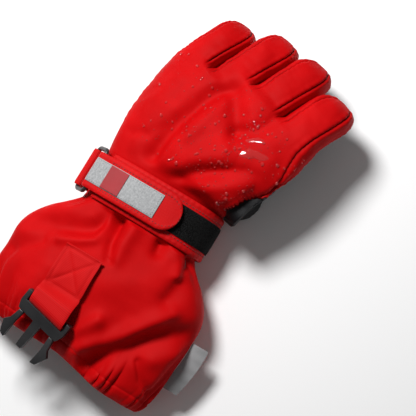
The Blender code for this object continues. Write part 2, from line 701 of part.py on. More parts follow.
def make_ring():
    """The moulded rectangular ring: a round wire bent through four rounded corners."""
    anchored, strap_bar = [wrist_outline(a, RING_OFFSET) for a in RING_ANGLES]
    half_length = TAB_WIDTH / 2 + RING_SIDE_CLEARANCE + RING_WIRE_RADIUS
    corner = RING_CORNER_RADIUS
    span = strap_bar - anchored
    wide = float(np.linalg.norm(span))
    outline = []
    for cx, cy, first in ((wide - corner, half_length - corner, 0), (corner, half_length - corner, 90),
                          (corner, corner - half_length, 180), (wide - corner, corner - half_length, 270)):
        for step in (0, 45, 90):
            angle = math.radians(first + step)
            outline.append((cx + corner * math.cos(angle), cy + corner * math.sin(angle)))
    curve = bpy.data.curves.new("strap_ring", "CURVE")
    curve.dimensions = "3D"
    curve.bevel_depth = RING_WIRE_RADIUS * MM
    curve.bevel_resolution = 1
    spline = curve.splines.new("POLY")
    spline.points.add(len(outline) - 1)
    spline.use_cyclic_u = True
    for point, (across, along) in zip(spline.points, outline):
        w, z = anchored + span / wide * across
        point.co = (*[n * MM for n in wrist_place(w, z, along)], 1.0)
    ring = bpy.data.objects.new("strap_ring", curve)
    ring.data.materials.append(material("strap_ring", BLACK_PLASTIC))
    bpy.context.scene.collection.objects.link(ring)


def make_anchor():
    """The ribbed loop that is sewn to the cuff's pinky side and holds the ring's outer bar."""
    bar = wrist_outline(RING_ANGLES[0], RING_OFFSET)
    sewn = [math.radians(a) for a in (208, 196, 184)]
    fold = [math.radians(a) for a in (205, 170, 130, 90, 50, 10, -30)]
    paths = []
    for extra in (0.0, ANCHOR_THICKNESS):
        path = [wrist_outline(a, GAP + extra) for a in sewn]
        paths.append(path + arc_round(bar, RING_WIRE_RADIUS + GAP + extra, fold))
    half = ANCHOR_WIDTH / 2
    ribbon("ring_anchor_loop", *paths, [half] * (len(sewn) + len(fold)), RED_WEBBING)


def cuff_top(v, w, above):
    """The height of a point above the cuff's upper shell at distance v and width w."""
    half = section(v)[4]
    return tube_point(v, w / half, 1, 0.0)[2] + above


def buckle_place():
    """The clip's own frame: its bar at the origin, +Y away from the webbing, +Z off the cuff."""
    z = cuff_top(BUCKLE_BAR_V, PATCH_W, GAP + WEBBING_THICKNESS + BUCKLE_BAR_RADIUS + BUCKLE_LIFT)
    place = Matrix.Translation(wrist_place(PATCH_W, z, BUCKLE_BAR_V))
    turn = Matrix.Rotation(WRIST_TURN + math.pi + BUCKLE_TURN, 4, "Z")
    return place @ turn @ Matrix.Rotation(-BUCKLE_TILT, 4, "X")


def make_webbing():
    """A sewn patch that leaves the cuff, turns round the clip's bar and comes back on itself."""
    half = WEBBING_WIDTH / 2
    low, high = PATCH_V
    bar_z = buckle_place().translation[2]
    upper_side, lower_side = [], []
    for v in (high, (low + high) / 2, low):
        z = cuff_top(v, PATCH_W, PATCH_LIFT)
        lower_side.append((v, z))
        upper_side.append((v, z + WEBBING_THICKNESS))
    inner_radius = BUCKLE_BAR_RADIUS + GAP
    for degrees in (270, 225, 180, 135, 90, 45):
        angle = math.radians(degrees)
        for path, radius in ((lower_side, inner_radius + WEBBING_THICKNESS), (upper_side, inner_radius)):
            v = BUCKLE_BAR_V + radius * math.cos(angle)
            path.append((v, bar_z + radius * math.sin(angle)))
    sheets = []
    for path in (upper_side, lower_side):
        rows = []
        for index, (v, z) in enumerate(path):
            skew = 0.0 if index < 3 else math.tan(BUCKLE_TURN)
            rows.append([wrist_place(PATCH_W + side * half, z, v + side * half * skew) for side in (-1, 1)])
        sheets.append(rows)
    slab("clip_webbing", *sheets, RED_WEBBING)


def extruded(name, outline, low, high, place, look):
    """A closed plate: a plan outline raised from low to high, then put in place."""
    bm = bmesh.new()
    bottom = [bm.verts.new((x, y, low)) for x, y in outline]
    top = [bm.verts.new((x, y, high)) for x, y in outline]
    bm.faces.new(bottom[::-1])
    bm.faces.new(top)
    grid_faces(bm, [bottom, top], cyclic=True)
    bmesh.ops.transform(bm, matrix=place, verts=bm.verts)
    return finish(bm, name, look)


def make_buckle():
    """The plug half of a side-release clip: a frame with its webbing bar, a tongue and two sprung prongs."""
    place = buckle_place()
    half = WEBBING_WIDTH / 2 + WEBBING_SIDE_CLEARANCE
    wall = BUCKLE_WALL
    slot_end = BUCKLE_BAR_RADIUS + WEBBING_THICKNESS + BUCKLE_SLOT_CLEARANCE
    body_end = slot_end + BUCKLE_BODY_LENGTH
    thick = BUCKLE_THICKNESS / 2
    outside = half + wall
    back = -BUCKLE_BAR_RADIUS
    tongue = TONGUE_HALF_WIDTH
    tongue_end = body_end + TONGUE_LENGTH
    outline = (
        (-outside, back), (-half, back), (-half, slot_end), (half, slot_end), (half, back), (outside, back),
        (outside, slot_end + 2), (outside - 2, body_end), (tongue + 1, body_end), (tongue, tongue_end),
        (-tongue, tongue_end), (-tongue - 1, body_end), (2 - outside, body_end), (-outside, slot_end + 2),
    )
    frame = extruded("clip_frame", outline, -thick, thick, place, BLACK_PLASTIC)
    bm = bmesh.new()
    across = Matrix.Rotation(math.pi / 2, 4, "Y")
    bmesh.ops.create_cone(bm, cap_ends=True, segments=12, radius1=BUCKLE_BAR_RADIUS, radius2=BUCKLE_BAR_RADIUS,
                          depth=2 * half + wall, matrix=place @ across)
    bar = finish(bm, "clip_bar_shape", BLACK_PLASTIC)
    bar.hide_render = True
    bar.display_type = "WIRE"
    union = frame.modifiers.new("bar", "BOOLEAN")
    union.operation = "UNION"
    union.object = bar
    for name, side in (("clip_prong_left", -1), ("clip_prong_right", 1)):
        root = outside - 4.5
        start = body_end + GAP
        prong = (
            (root - 2.2, start), (root + 1.2, start), (root + 2.6, start + 8), (outside + 1.0, start + 12),
            (outside - 2.5, start + 20), (root - 1.5, start + 21), (root - 1.2, start + 9),
        )
        shaped = [(side * x, y) for x, y in prong][::side]
        extruded(name, shaped, PRONG_THINNER - thick, thick - PRONG_THINNER, place, BLACK_PLASTIC)


def make_tag():
    """The satin side label, folded and sewn into the cuff's thumb-side seam."""
    vs = np.linspace(*TAG_V, 4)
    sheets = []
    for lift in (TAG_THICKNESS, 0.0):
        rows = []
        for v in vs:
            _, x, y, turn, half, low, top, _ = section(v)
            middle = (low + top) / 2 - 1.0
            way = np.array([math.cos(turn), math.sin(turn)])
            ends = [np.array([x, y]) + way * (half + out) for out in (GAP, TAG_WIDTH * 0.5, TAG_WIDTH)]
            rows.append([(*end, middle + lift - drop) for end, drop in zip(ends, (0.0, 1.0, 2.5))])
        sheets.append(rows)
    slab("side_tag", *sheets, GREY_SATIN)


def main():
    for obj in list(bpy.data.objects):
        bpy.data.objects.remove(obj)
    make_hand()
    make_cuff()
    for name in COLUMNS:
        make_finger(name)
    make_thumb()
    make_strap()
    make_webbing()
    make_buckle()
    make_tag()


main()
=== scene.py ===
"""The finished look of a child's padded ski glove for the left hand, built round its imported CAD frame.

Lengths in the numbers below are millimetres and go through MM to metres where a mesh is made. +Y runs
along the fingers, +X is the index and thumb side, +Z is up. The hand and the gauntlet cuff are one tube,
and v is the distance along it: negative towards the hem, zero at the wrist. An angle goes round the tube,
or round a finger: 0 is its +X edge, 90 degrees its top, 180 its other edge and 270 its underside.
"""

import json
import math

import bpy
import numpy as np
from mathutils import Matrix, Vector


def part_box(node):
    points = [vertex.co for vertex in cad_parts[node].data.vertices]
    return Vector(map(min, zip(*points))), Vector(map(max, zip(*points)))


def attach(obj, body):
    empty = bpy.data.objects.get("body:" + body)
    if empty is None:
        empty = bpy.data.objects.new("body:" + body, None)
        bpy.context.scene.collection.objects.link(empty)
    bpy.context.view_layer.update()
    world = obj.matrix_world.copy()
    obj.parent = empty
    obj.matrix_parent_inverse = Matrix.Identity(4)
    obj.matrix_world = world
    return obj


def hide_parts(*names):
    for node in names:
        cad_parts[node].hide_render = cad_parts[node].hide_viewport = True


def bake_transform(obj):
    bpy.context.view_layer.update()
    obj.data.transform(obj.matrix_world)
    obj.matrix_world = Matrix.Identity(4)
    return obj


MM = 0.001
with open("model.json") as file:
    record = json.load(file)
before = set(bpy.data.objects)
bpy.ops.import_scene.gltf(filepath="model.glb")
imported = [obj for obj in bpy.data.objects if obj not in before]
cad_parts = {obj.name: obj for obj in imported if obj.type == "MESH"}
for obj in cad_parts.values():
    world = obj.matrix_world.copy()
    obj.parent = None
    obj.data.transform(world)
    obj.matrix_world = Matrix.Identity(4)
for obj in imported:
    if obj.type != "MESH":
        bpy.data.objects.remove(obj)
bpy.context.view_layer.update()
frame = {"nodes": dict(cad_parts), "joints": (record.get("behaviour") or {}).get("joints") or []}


# ---------------------------------------------------------------- camera, light and floor

VIEW_RIGHT = Vector((0.574, 0.819, 0.0))
VIEW_LEAN = math.radians(11.0)
VIEW_CENTRE = Vector((19.7, 28.8, 12.0)) * MM
VIEW_DISTANCE = 0.9
VIEW_LENS = 121.0
KEY_LIGHT = ((-0.44, 0.12, 0.70), (0.02, 0.02, 0.02), 0.26, 8.6)  # place, aim, width and watts
FILL_LIGHT = ((0.35, 0.75, 0.75), (0.0, 0.03, 0.0), 0.8, 0.35)
ROOM_STRENGTH = 0.13
FLOOR_REACH = 3.0


def make_camera():
    """The camera leans towards +X and looks at the glove's middle, with its right along VIEW_RIGHT."""
    towards = Vector((math.sin(VIEW_LEAN), 0.0, math.cos(VIEW_LEAN)))
    right = (VIEW_RIGHT - towards * VIEW_RIGHT.dot(towards)).normalized()
    up = towards.cross(right)
    data = bpy.data.cameras.new("camera")
    data.lens = VIEW_LENS
    data.sensor_width = 36.0
    camera = bpy.data.objects.new("camera", data)
    turn = Matrix((right, up, towards)).transposed().to_4x4()
    camera.matrix_world = Matrix.Translation(VIEW_CENTRE + towards * VIEW_DISTANCE) @ turn
    bpy.context.scene.collection.objects.link(camera)
    bpy.context.scene.camera = camera


def make_light(name, place, aim, size, watts):
    """A round area light at a place, aimed at a point."""
    data = bpy.data.lights.new(name, "AREA")
    data.shape = "DISK"
    data.size = size
    data.energy = watts
    light = bpy.data.objects.new(name, data)
    place, aim = Vector(place), Vector(aim)
    light.matrix_world = Matrix.Translation(place) @ (place - aim).to_track_quat("Z", "Y").to_matrix().to_4x4()
    bpy.context.scene.collection.objects.link(light)


def make_surroundings():
    """A dim white room, a small bright key light, a broad weak fill and a pale floor."""
    scene = bpy.context.scene
    scene.view_settings.view_transform = "Standard"
    world = bpy.data.worlds.new("soft white room")
    scene.world = world
    world.use_nodes = True
    background = world.node_tree.nodes["Background"]
    background.inputs["Color"].default_value = (1.0, 1.0, 1.0, 1.0)
    background.inputs["Strength"].default_value = ROOM_STRENGTH
    make_light("key", *KEY_LIGHT)
    make_light("fill", *FILL_LIGHT)
    mesh = bpy.data.meshes.new("floor")
    r = FLOOR_REACH
    mesh.from_pydata([(-r, -r, 0), (r, -r, 0), (r, r, 0), (-r, r, 0)], [], [(0, 1, 2, 3)])
    floor = bpy.data.objects.new("floor", mesh)
    scene.collection.objects.link(floor)
    paint = bpy.data.materials.new("pale floor")
    paint.use_nodes = True
    shader = paint.node_tree.nodes["Principled BSDF"]
    shader.inputs["Base Color"].default_value = (0.96, 0.96, 0.96, 1.0)
    shader.inputs["Roughness"].default_value = 0.9
    shader.inputs["Specular IOR Level"].default_value = 0.1
    mesh.materials.append(paint)


# ---------------------------------------------------------------- node groups and materials


def new_group(name, inputs, outputs):
    """An empty shader node group with named sockets, and its input and output nodes."""
    group = bpy.data.node_groups.new(name, "ShaderNodeTree")
    for socket, kind, value in inputs:
        made = group.interface.new_socket(socket, in_out="INPUT", socket_type=kind)
        if value is not None:
            made.default_value = value
    for socket, kind in outputs:
        group.interface.new_socket(socket, in_out="OUTPUT", socket_type=kind)
    return group, group.nodes.new("NodeGroupInput"), group.nodes.new("NodeGroupOutput")


def maths(tree, operation, first, second=None, third=None):
    """A Math node. A number goes on its socket, anything else is linked."""
    node = tree.nodes.new("ShaderNodeMath")
    node.operation = operation
    for socket, value in zip(node.inputs, (first, second, third)):
        if value is None:
            continue
        if isinstance(value, (int, float)):
            socket.default_value = value
        else:
            tree.links.new(value, socket)
    return node.outputs[0]


def noise(tree, vector, scale, detail=2.0, roughness=0.5):
    """A Noise Texture's value at these coordinates."""
    node = tree.nodes.new("ShaderNodeTexNoise")
    node.inputs["Scale"].default_value = scale
    node.inputs["Detail"].default_value = detail
    node.inputs["Roughness"].default_value = roughness
    tree.links.new(vector, node.inputs["Vector"])
    return node.outputs["Fac"]


def make_weave_group():
    """A plain weave: over and under threads as the product of two sine waves a thread apart, and its height."""
    group, given, out = new_group(
        "plain_weave",
        [("Vector", "NodeSocketVector", None), ("Threads", "NodeSocketFloat", 1.0)],
        [("Height", "NodeSocketFloat"), ("Shade", "NodeSocketFloat")],
    )
    split = group.nodes.new("ShaderNodeSeparateXYZ")
    group.links.new(given.outputs["Vector"], split.inputs[0])
    waves = []
    for axis in ("X", "Y"):
        turned = maths(group, "MULTIPLY", split.outputs[axis], given.outputs["Threads"])
        waves.append(maths(group, "SINE", maths(group, "MULTIPLY", turned, math.pi)))
    crossing = maths(group, "MULTIPLY", waves[0], waves[1])
    ribs = maths(group, "MAXIMUM", maths(group, "ABSOLUTE", waves[0]), maths(group, "ABSOLUTE", waves[1]))
    height = maths(group, "MULTIPLY_ADD", crossing, 0.5, ribs)
    group.links.new(height, out.inputs["Height"])
    shade = maths(group, "MULTIPLY_ADD", crossing, 0.5, 0.5)
    group.links.new(shade, out.inputs["Shade"])
    return group


def make_wear_group():
    """Broad patches and fine specks of wear, both from noise in the object's own space, as masks from 0 to 1."""
    group, given, out = new_group(
        "soft_wear",
        [("Vector", "NodeSocketVector", None)],
        [("Patches", "NodeSocketFloat"), ("Specks", "NodeSocketFloat")],
    )
    broad = noise(group, given.outputs["Vector"], 38.0, 3.0)
    group.links.new(broad, out.inputs["Patches"])
    fine = noise(group, given.outputs["Vector"], 900.0, 2.0)
    group.links.new(fine, out.inputs["Specks"])
    return group


def make_grain_group():
    """Leather grain: the distance to the borders of small cells, smoothed, with fine noise on top."""
    group, given, out = new_group(
        "leather_grain",
        [("Vector", "NodeSocketVector", None), ("Cells", "NodeSocketFloat", 800.0)],
        [("Height", "NodeSocketFloat"), ("Creases", "NodeSocketFloat")],
    )
    cells = group.nodes.new("ShaderNodeTexVoronoi")
    cells.feature = "DISTANCE_TO_EDGE"
    group.links.new(given.outputs["Vector"], cells.inputs["Vector"])
    group.links.new(given.outputs["Cells"], cells.inputs["Scale"])
    raised = maths(group, "SMOOTH_MIN", cells.outputs["Distance"], 0.18, 0.1)
    fine = noise(group, given.outputs["Vector"], 2600.0, 1.0)
    group.links.new(maths(group, "MULTIPLY_ADD", fine, 0.12, raised), out.inputs["Height"])
    group.links.new(maths(group, "LESS_THAN", cells.outputs["Distance"], 0.06), out.inputs["Creases"])
    return group


GROUPS = {}


class Finish:
    """One material being made: its tree, its shader, and its two kinds of coordinates."""

    def __init__(self, name, roughness, sheen=0.0, sheen_tint=(1.0, 1.0, 1.0), specular=0.5, coat=0.0):
        self.made = bpy.data.materials.new(name)
        self.made.use_nodes = True
        self.tree = self.made.node_tree
        self.shader = self.tree.nodes["Principled BSDF"]
        self.shader.inputs["Roughness"].default_value = roughness
        self.shader.inputs["Sheen Weight"].default_value = sheen
        self.shader.inputs["Sheen Roughness"].default_value = 0.4
        self.shader.inputs["Sheen Tint"].default_value = (*sheen_tint, 1.0)
        self.shader.inputs["Specular IOR Level"].default_value = specular
        self.shader.inputs["Coat Weight"].default_value = coat
        self.shader.inputs["Coat Roughness"].default_value = 0.25
        coordinates = self.tree.nodes.new("ShaderNodeTexCoord")
        self.space = coordinates.outputs["Object"]
        self.cloth = coordinates.outputs["UV"]

    def group(self, name, vector, **values):
        node = self.tree.nodes.new("ShaderNodeGroup")
        node.node_tree = GROUPS[name]
        self.tree.links.new(vector, node.inputs["Vector"])
        for socket, value in values.items():
            node.inputs[socket].default_value = value
        return node.outputs

    def colour(self, factor, stops):
        """Base colour from a factor through a ramp of (position, colour)."""
        ramp = self.tree.nodes.new("ShaderNodeValToRGB")
        elements = ramp.color_ramp.elements
        while len(elements) < len(stops):
            elements.new(0.5)
        for element, (position, colour) in zip(elements, stops):
            element.position = position
            element.color = (*colour, 1.0)
        self.tree.links.new(factor, ramp.inputs["Fac"])
        self.tree.links.new(ramp.outputs["Color"], self.shader.inputs["Base Color"])

    def rough(self, factor, low, high):
        node = self.tree.nodes.new("ShaderNodeMapRange")
        node.inputs["To Min"].default_value = low
        node.inputs["To Max"].default_value = high
        self.tree.links.new(factor, node.inputs["Value"])
        self.tree.links.new(node.outputs["Result"], self.shader.inputs["Roughness"])

    def bumps(self, *layers):
        """One Bump node after another: each layer is (height, strength, distance in metres)."""
        last = None
        for height, strength, distance in layers:
            bump = self.tree.nodes.new("ShaderNodeBump")
            bump.inputs["Strength"].default_value = strength
            bump.inputs["Distance"].default_value = distance
            self.tree.links.new(height, bump.inputs["Height"])
            if last:
                self.tree.links.new(last, bump.inputs["Normal"])
            last = bump.outputs["Normal"]
        self.tree.links.new(last, self.shader.inputs["Normal"])
        return self.made


def woven(name, dark, base, light, roughness, threads, depth, sheen=0.15, specular=0.5, tint=(1.0, 1.0, 1.0)):
    """Woven cloth on the piece's own UV map in millimetres: threads per millimetre and weave depth in metres."""
    finish = Finish(name, roughness, sheen=sheen, specular=specular, sheen_tint=tint)
    weave = finish.group("plain_weave", finish.cloth, Threads=threads)
    wear = finish.group("soft_wear", finish.space)
    tree = finish.tree
    mixed = maths(tree, "MULTIPLY_ADD", weave["Shade"], 0.22, maths(tree, "MULTIPLY", wear["Patches"], 0.78))
    # Painted shade: the seam attribute darkens the base colour along each seam's groove, down towards the ramp's
    # darkest stop, three tenths of the dark colour.
    seam = tree.nodes.new("ShaderNodeAttribute")
    seam.attribute_name = "seam"
    mixed = maths(tree, "MULTIPLY_ADD", seam.outputs["Fac"], -0.6, mixed)
    finish.colour(mixed, [(0.0, tuple(n * 0.3 for n in dark)), (0.22, dark), (0.5, base), (0.78, light)])
    finish.rough(wear["Patches"], roughness - 0.06, roughness + 0.08)
    wrinkled = noise(tree, finish.space, 130.0, 3.0)
    return finish.bumps(
        (wrinkled, 0.25, 0.0005),
        (wear["Specks"], 0.35, 0.00006),
        (weave["Height"], 0.6, depth),
    )


def ribbed(name, dark, base, light, roughness, ribs, depth):
    """Webbing: crosswise ribs as a sine along the second UV axis, with a fine weave over them."""
    finish = Finish(name, roughness, sheen=0.05, specular=0.1)
    tree = finish.tree
    split = tree.nodes.new("ShaderNodeSeparateXYZ")
    tree.links.new(finish.cloth, split.inputs[0])
    wave = maths(tree, "SINE", maths(tree, "MULTIPLY", split.outputs["Y"], 2 * math.pi * ribs))
    rib = maths(tree, "MULTIPLY_ADD", wave, 0.5, 0.5)
    weave = finish.group("plain_weave", finish.cloth, Threads=ribs * 2.0)
    wear = finish.group("soft_wear", finish.space)
    mixed = maths(tree, "MULTIPLY_ADD", rib, 0.45, maths(tree, "MULTIPLY", wear["Patches"], 0.55))
    finish.colour(mixed, [(0.15, dark), (0.5, base), (0.85, light)])
    return finish.bumps((rib, 0.7, depth), (weave["Height"], 0.4, depth * 0.4), (wear["Specks"], 0.3, 0.00005))


def leather(name, dark, base, light, roughness, cells, depth):
    """Leather or moulded rubber: grain from small cells, colour and gloss from broad patches."""
    finish = Finish(name, roughness, specular=0.22)
    grain = finish.group("leather_grain", finish.space, Cells=cells)
    wear = finish.group("soft_wear", finish.space)
    finish.colour(wear["Patches"], [(0.3, dark), (0.5, base), (0.7, light)])
    finish.rough(wear["Patches"], roughness - 0.1, roughness + 0.1)
    return finish.bumps((grain["Height"], 0.7, depth), (wear["Specks"], 0.25, 0.00004))


def pile(name, dark, base, light, scale, depth):
    """Looped or hooked tape: a deep speckle of small loops."""
    finish = Finish(name, 0.98, sheen=0.04, specular=0.08)
    loops = finish.tree.nodes.new("ShaderNodeTexVoronoi")
    loops.inputs["Scale"].default_value = scale
    finish.tree.links.new(finish.space, loops.inputs["Vector"])
    wear = finish.group("soft_wear", finish.space)
    finish.colour(loops.outputs["Distance"], [(0.1, light), (0.45, base), (0.8, dark)])
    return finish.bumps((wear["Specks"], 0.6, 0.0003), (loops.outputs["Distance"], 0.9, depth))


def moulded(name, base, light, roughness):
    """Moulded plastic with the faint, even texture of a spark-eroded mould."""
    finish = Finish(name, roughness, specular=0.55)
    wear = finish.group("soft_wear", finish.space)
    finish.colour(wear["Patches"], [(0.35, base), (0.7, light)])
    finish.rough(wear["Specks"], roughness - 0.06, roughness + 0.12)
    texture = noise(finish.tree, finish.space, 5200.0, 1.0)
    return finish.bumps((texture, 0.35, 0.00003), (wear["Patches"], 0.2, 0.0002))


def fleecy(name, dark, base, light, scale):
    """Fleece or wadding: one deep noise gives both its tufts and its colour."""
    finish = Finish(name, 0.95, sheen=0.4, specular=0.2)
    tufts = noise(finish.tree, finish.space, scale, 4.0, 0.65)
    finish.colour(tufts, [(0.3, dark), (0.5, base), (0.7, light)])
    return finish.bumps((tufts, 1.0, 0.0012))


def glassy(name):
    """Water on cloth: mostly see-through, with a glow where light gathers painted into its red base colour, and a
    bright wet skin.
    """
    finish = Finish(name, 0.06, specular=0.7, coat=0.6)
    finish.shader.inputs["Coat Roughness"].default_value = 0.02
    # Painted light: the red base colour stands for the glow of light the water gathers onto the red cloth beneath it.
    finish.shader.inputs["Base Color"].default_value = (0.62, 0.035, 0.035, 1.0)
    finish.shader.inputs["Alpha"].default_value = 0.5
    finish.shader.inputs["IOR"].default_value = 1.5
    swell = noise(finish.tree, finish.space, 420.0, 1.0)
    return finish.bumps((swell, 0.15, 0.0001))


def reflective(name):
    """Retroreflective tape: a silvery face of fine beads, with faint streaks along its length."""
    finish = Finish(name, 0.55, specular=0.35)
    wear = finish.group("soft_wear", finish.space)
    streak = finish.tree.nodes.new("ShaderNodeMapping")
    streak.inputs["Scale"].default_value = (0.25, 3.0, 1.0)
    finish.tree.links.new(finish.cloth, streak.inputs["Vector"])
    lines = noise(finish.tree, streak.outputs["Vector"], 1.2, 3.0)
    mixed = maths(finish.tree, "MULTIPLY_ADD", lines, 0.5, maths(finish.tree, "MULTIPLY", wear["Specks"], 0.5))
    finish.colour(mixed, [(0.3, (0.20, 0.205, 0.21)), (0.5, (0.31, 0.315, 0.32)), (0.7, (0.44, 0.445, 0.45))])
    finish.rough(wear["Patches"], 0.45, 0.65)
    return finish.bumps((wear["Specks"], 0.5, 0.00006), (lines, 0.3, 0.0001))


def make_materials():
    """Every finish by its name. Colours are linear, and run from dark through middle to light."""
    GROUPS["plain_weave"] = make_weave_group()
    GROUPS["soft_wear"] = make_wear_group()
    GROUPS["leather_grain"] = make_grain_group()
    rosy = (1.0, 0.45, 0.4)
    return {
        "shell": woven("red_shell_cloth", (0.40, 0.001, 0.0015), (0.49, 0.0015, 0.0025), (0.58, 0.003, 0.004),
                       0.58, 2.6, 0.00005, sheen=0.0, specular=0.055, tint=rosy),
        "binding": woven("red_binding", (0.42, 0.001, 0.003), (0.54, 0.003, 0.004), (0.64, 0.006, 0.006), 0.55, 1.6,
                         0.00012, sheen=0.0, specular=0.1, tint=rosy),
        "webbing": ribbed("red_webbing_tape", (0.42, 0.002, 0.003), (0.53, 0.003, 0.004), (0.62, 0.006, 0.006), 0.65,
                          1.1, 0.0001),
        "thread": woven("red_thread", (0.10, 0.001, 0.002), (0.20, 0.002, 0.003), (0.30, 0.004, 0.004), 0.6, 3.0,
                        0.00005),
        "dark_thread": woven("grey_thread", (0.03, 0.03, 0.03), (0.08, 0.08, 0.08), (0.16, 0.16, 0.16), 0.6, 3.0,
                             0.00005),
        "palm": leather("black_palm_leather", (0.004, 0.004, 0.005), (0.009, 0.009, 0.010), (0.02, 0.02, 0.021),
                        0.6, 700.0, 0.00022),
        "grip": leather("black_grip_rubber", (0.010, 0.010, 0.011), (0.018, 0.018, 0.02), (0.03, 0.03, 0.032), 0.42,
                        1500.0, 0.0001),
        "loop": pile("black_loop_pile", (0.002, 0.002, 0.002), (0.007, 0.007, 0.007), (0.02, 0.02, 0.02), 1500.0,
                     0.0005),
        "plastic": moulded("black_moulded_plastic", (0.012, 0.012, 0.013), (0.03, 0.03, 0.031), 0.34),
        "shine": reflective("reflective_cloth"),
        "badge": woven("badge_cloth", (0.22, 0.006, 0.010), (0.31, 0.009, 0.014), (0.40, 0.014, 0.02), 0.6, 2.2,
                       0.0001),
        "satin": woven("grey_satin_label", (0.19, 0.19, 0.195), (0.28, 0.28, 0.285), (0.36, 0.36, 0.365), 0.42, 3.4,
                       0.00004, sheen=0.3),
        "wadding": fleecy("white_wadding_fleece", (0.6, 0.6, 0.58), (0.78, 0.78, 0.76), (0.88, 0.88, 0.86), 700.0),
        "membrane": woven("grey_membrane_film", (0.40, 0.44, 0.47), (0.50, 0.54, 0.57), (0.6, 0.64, 0.66), 0.4, 1.2,
                          0.00003),
        "lining": fleecy("dark_fleece_lining", (0.012, 0.012, 0.015), (0.028, 0.028, 0.033), (0.05, 0.05, 0.056),
                         1100.0),
        "elastic": ribbed("white_elastic_band", (0.5, 0.5, 0.48), (0.68, 0.68, 0.66), (0.8, 0.8, 0.78), 0.75, 0.9,
                          0.0002),
        "water": glassy("clear_water"),
    }


# ---------------------------------------------------------------- meshes from grids


def object_of(name, points, faces, material, loop_uv=None, sharp=50.0):
    """A mesh object from millimetre points, at the origin. Edges sharper than this many degrees stay crisp."""
    mesh = bpy.data.meshes.new(name)
    mesh.from_pydata((np.asarray(points) * MM).tolist(), [], faces)
    if loop_uv is not None:
        mesh.uv_layers.new(name="cloth")
        mesh.uv_layers["cloth"].data.foreach_set("uv", np.asarray(loop_uv, np.float32).ravel())
    mesh.shade_smooth()
    mesh.set_sharp_from_angle(angle=math.radians(sharp))
    mesh.materials.append(material)
    made = bpy.data.objects.new(name, mesh)
    bpy.context.scene.collection.objects.link(made)
    return made


def grid_quads(rows, columns, start=0, around=False):
    """Corner numbers of every cell of a grid whose rows run up and whose columns run anticlockwise."""
    index = np.arange(rows * columns).reshape(rows, columns) + start
    if around:
        index = np.concatenate([index, index[:, :1]], axis=1)
    return np.stack([index[:-1, :-1], index[1:, :-1], index[1:, 1:], index[:-1, 1:]], -1).reshape(-1, 4)


def capped_tubes(rows, around, count=1):
    """Faces of tubes one after another, each a stack of rings with a cap on both ends."""
    quads = grid_quads(rows, around, around=True)
    caps = np.array([np.arange(around)[::-1], np.arange((rows - 1) * around, rows * around)])
    offsets = np.arange(count)[:, None, None] * rows * around
    return (quads[None] + offsets).reshape(-1, 4).tolist() + (caps[None] + offsets).reshape(-1, around).tolist()


def lengths_along(grid):
    """Each point's place in millimetres: across its row, and up its column, as running sums of the steps."""
    across = np.linalg.norm(np.diff(grid, axis=1), axis=-1).mean(axis=0)
    up = np.linalg.norm(np.diff(grid, axis=0), axis=-1).mean(axis=1)
    across = np.concatenate([[0.0], np.cumsum(across)])
    up = np.concatenate([[0.0], np.cumsum(up)])
    return np.stack(np.broadcast_arrays(across[None, :], up[:, None]), -1)


def clean_faces(quads, merged):
    """Quads after merging as quads and triangles, with the kept corners' own numbers for their UVs."""
    corners = merged[quads]
    same = corners == np.roll(corners, -1, axis=1)
    whole = ~same.any(axis=1)
    found = [(corners[whole], quads[whole])]
    for k in range(4):
        one = same[:, k] & (same.sum(axis=1) == 1)
        kept = [c for c in range(4) if c != k]
        found.append((corners[one][:, kept], quads[one][:, kept]))
    return found


def point_normals(points, faces):
    """Each point's outward direction: the sum of its faces' cross products, made one long."""
    normals = np.zeros_like(points)
    for group in faces:
        if len(group) == 0:
            continue
        first = points[group[:, 2]] - points[group[:, 0]]
        second = points[group[:, -1]] - points[group[:, 1]]
        across = np.cross(first, second)
        for k in range(group.shape[1]):
            np.add.at(normals, group[:, k], across)
    return normals / np.maximum(np.linalg.norm(normals, axis=1, keepdims=True), 1e-12)


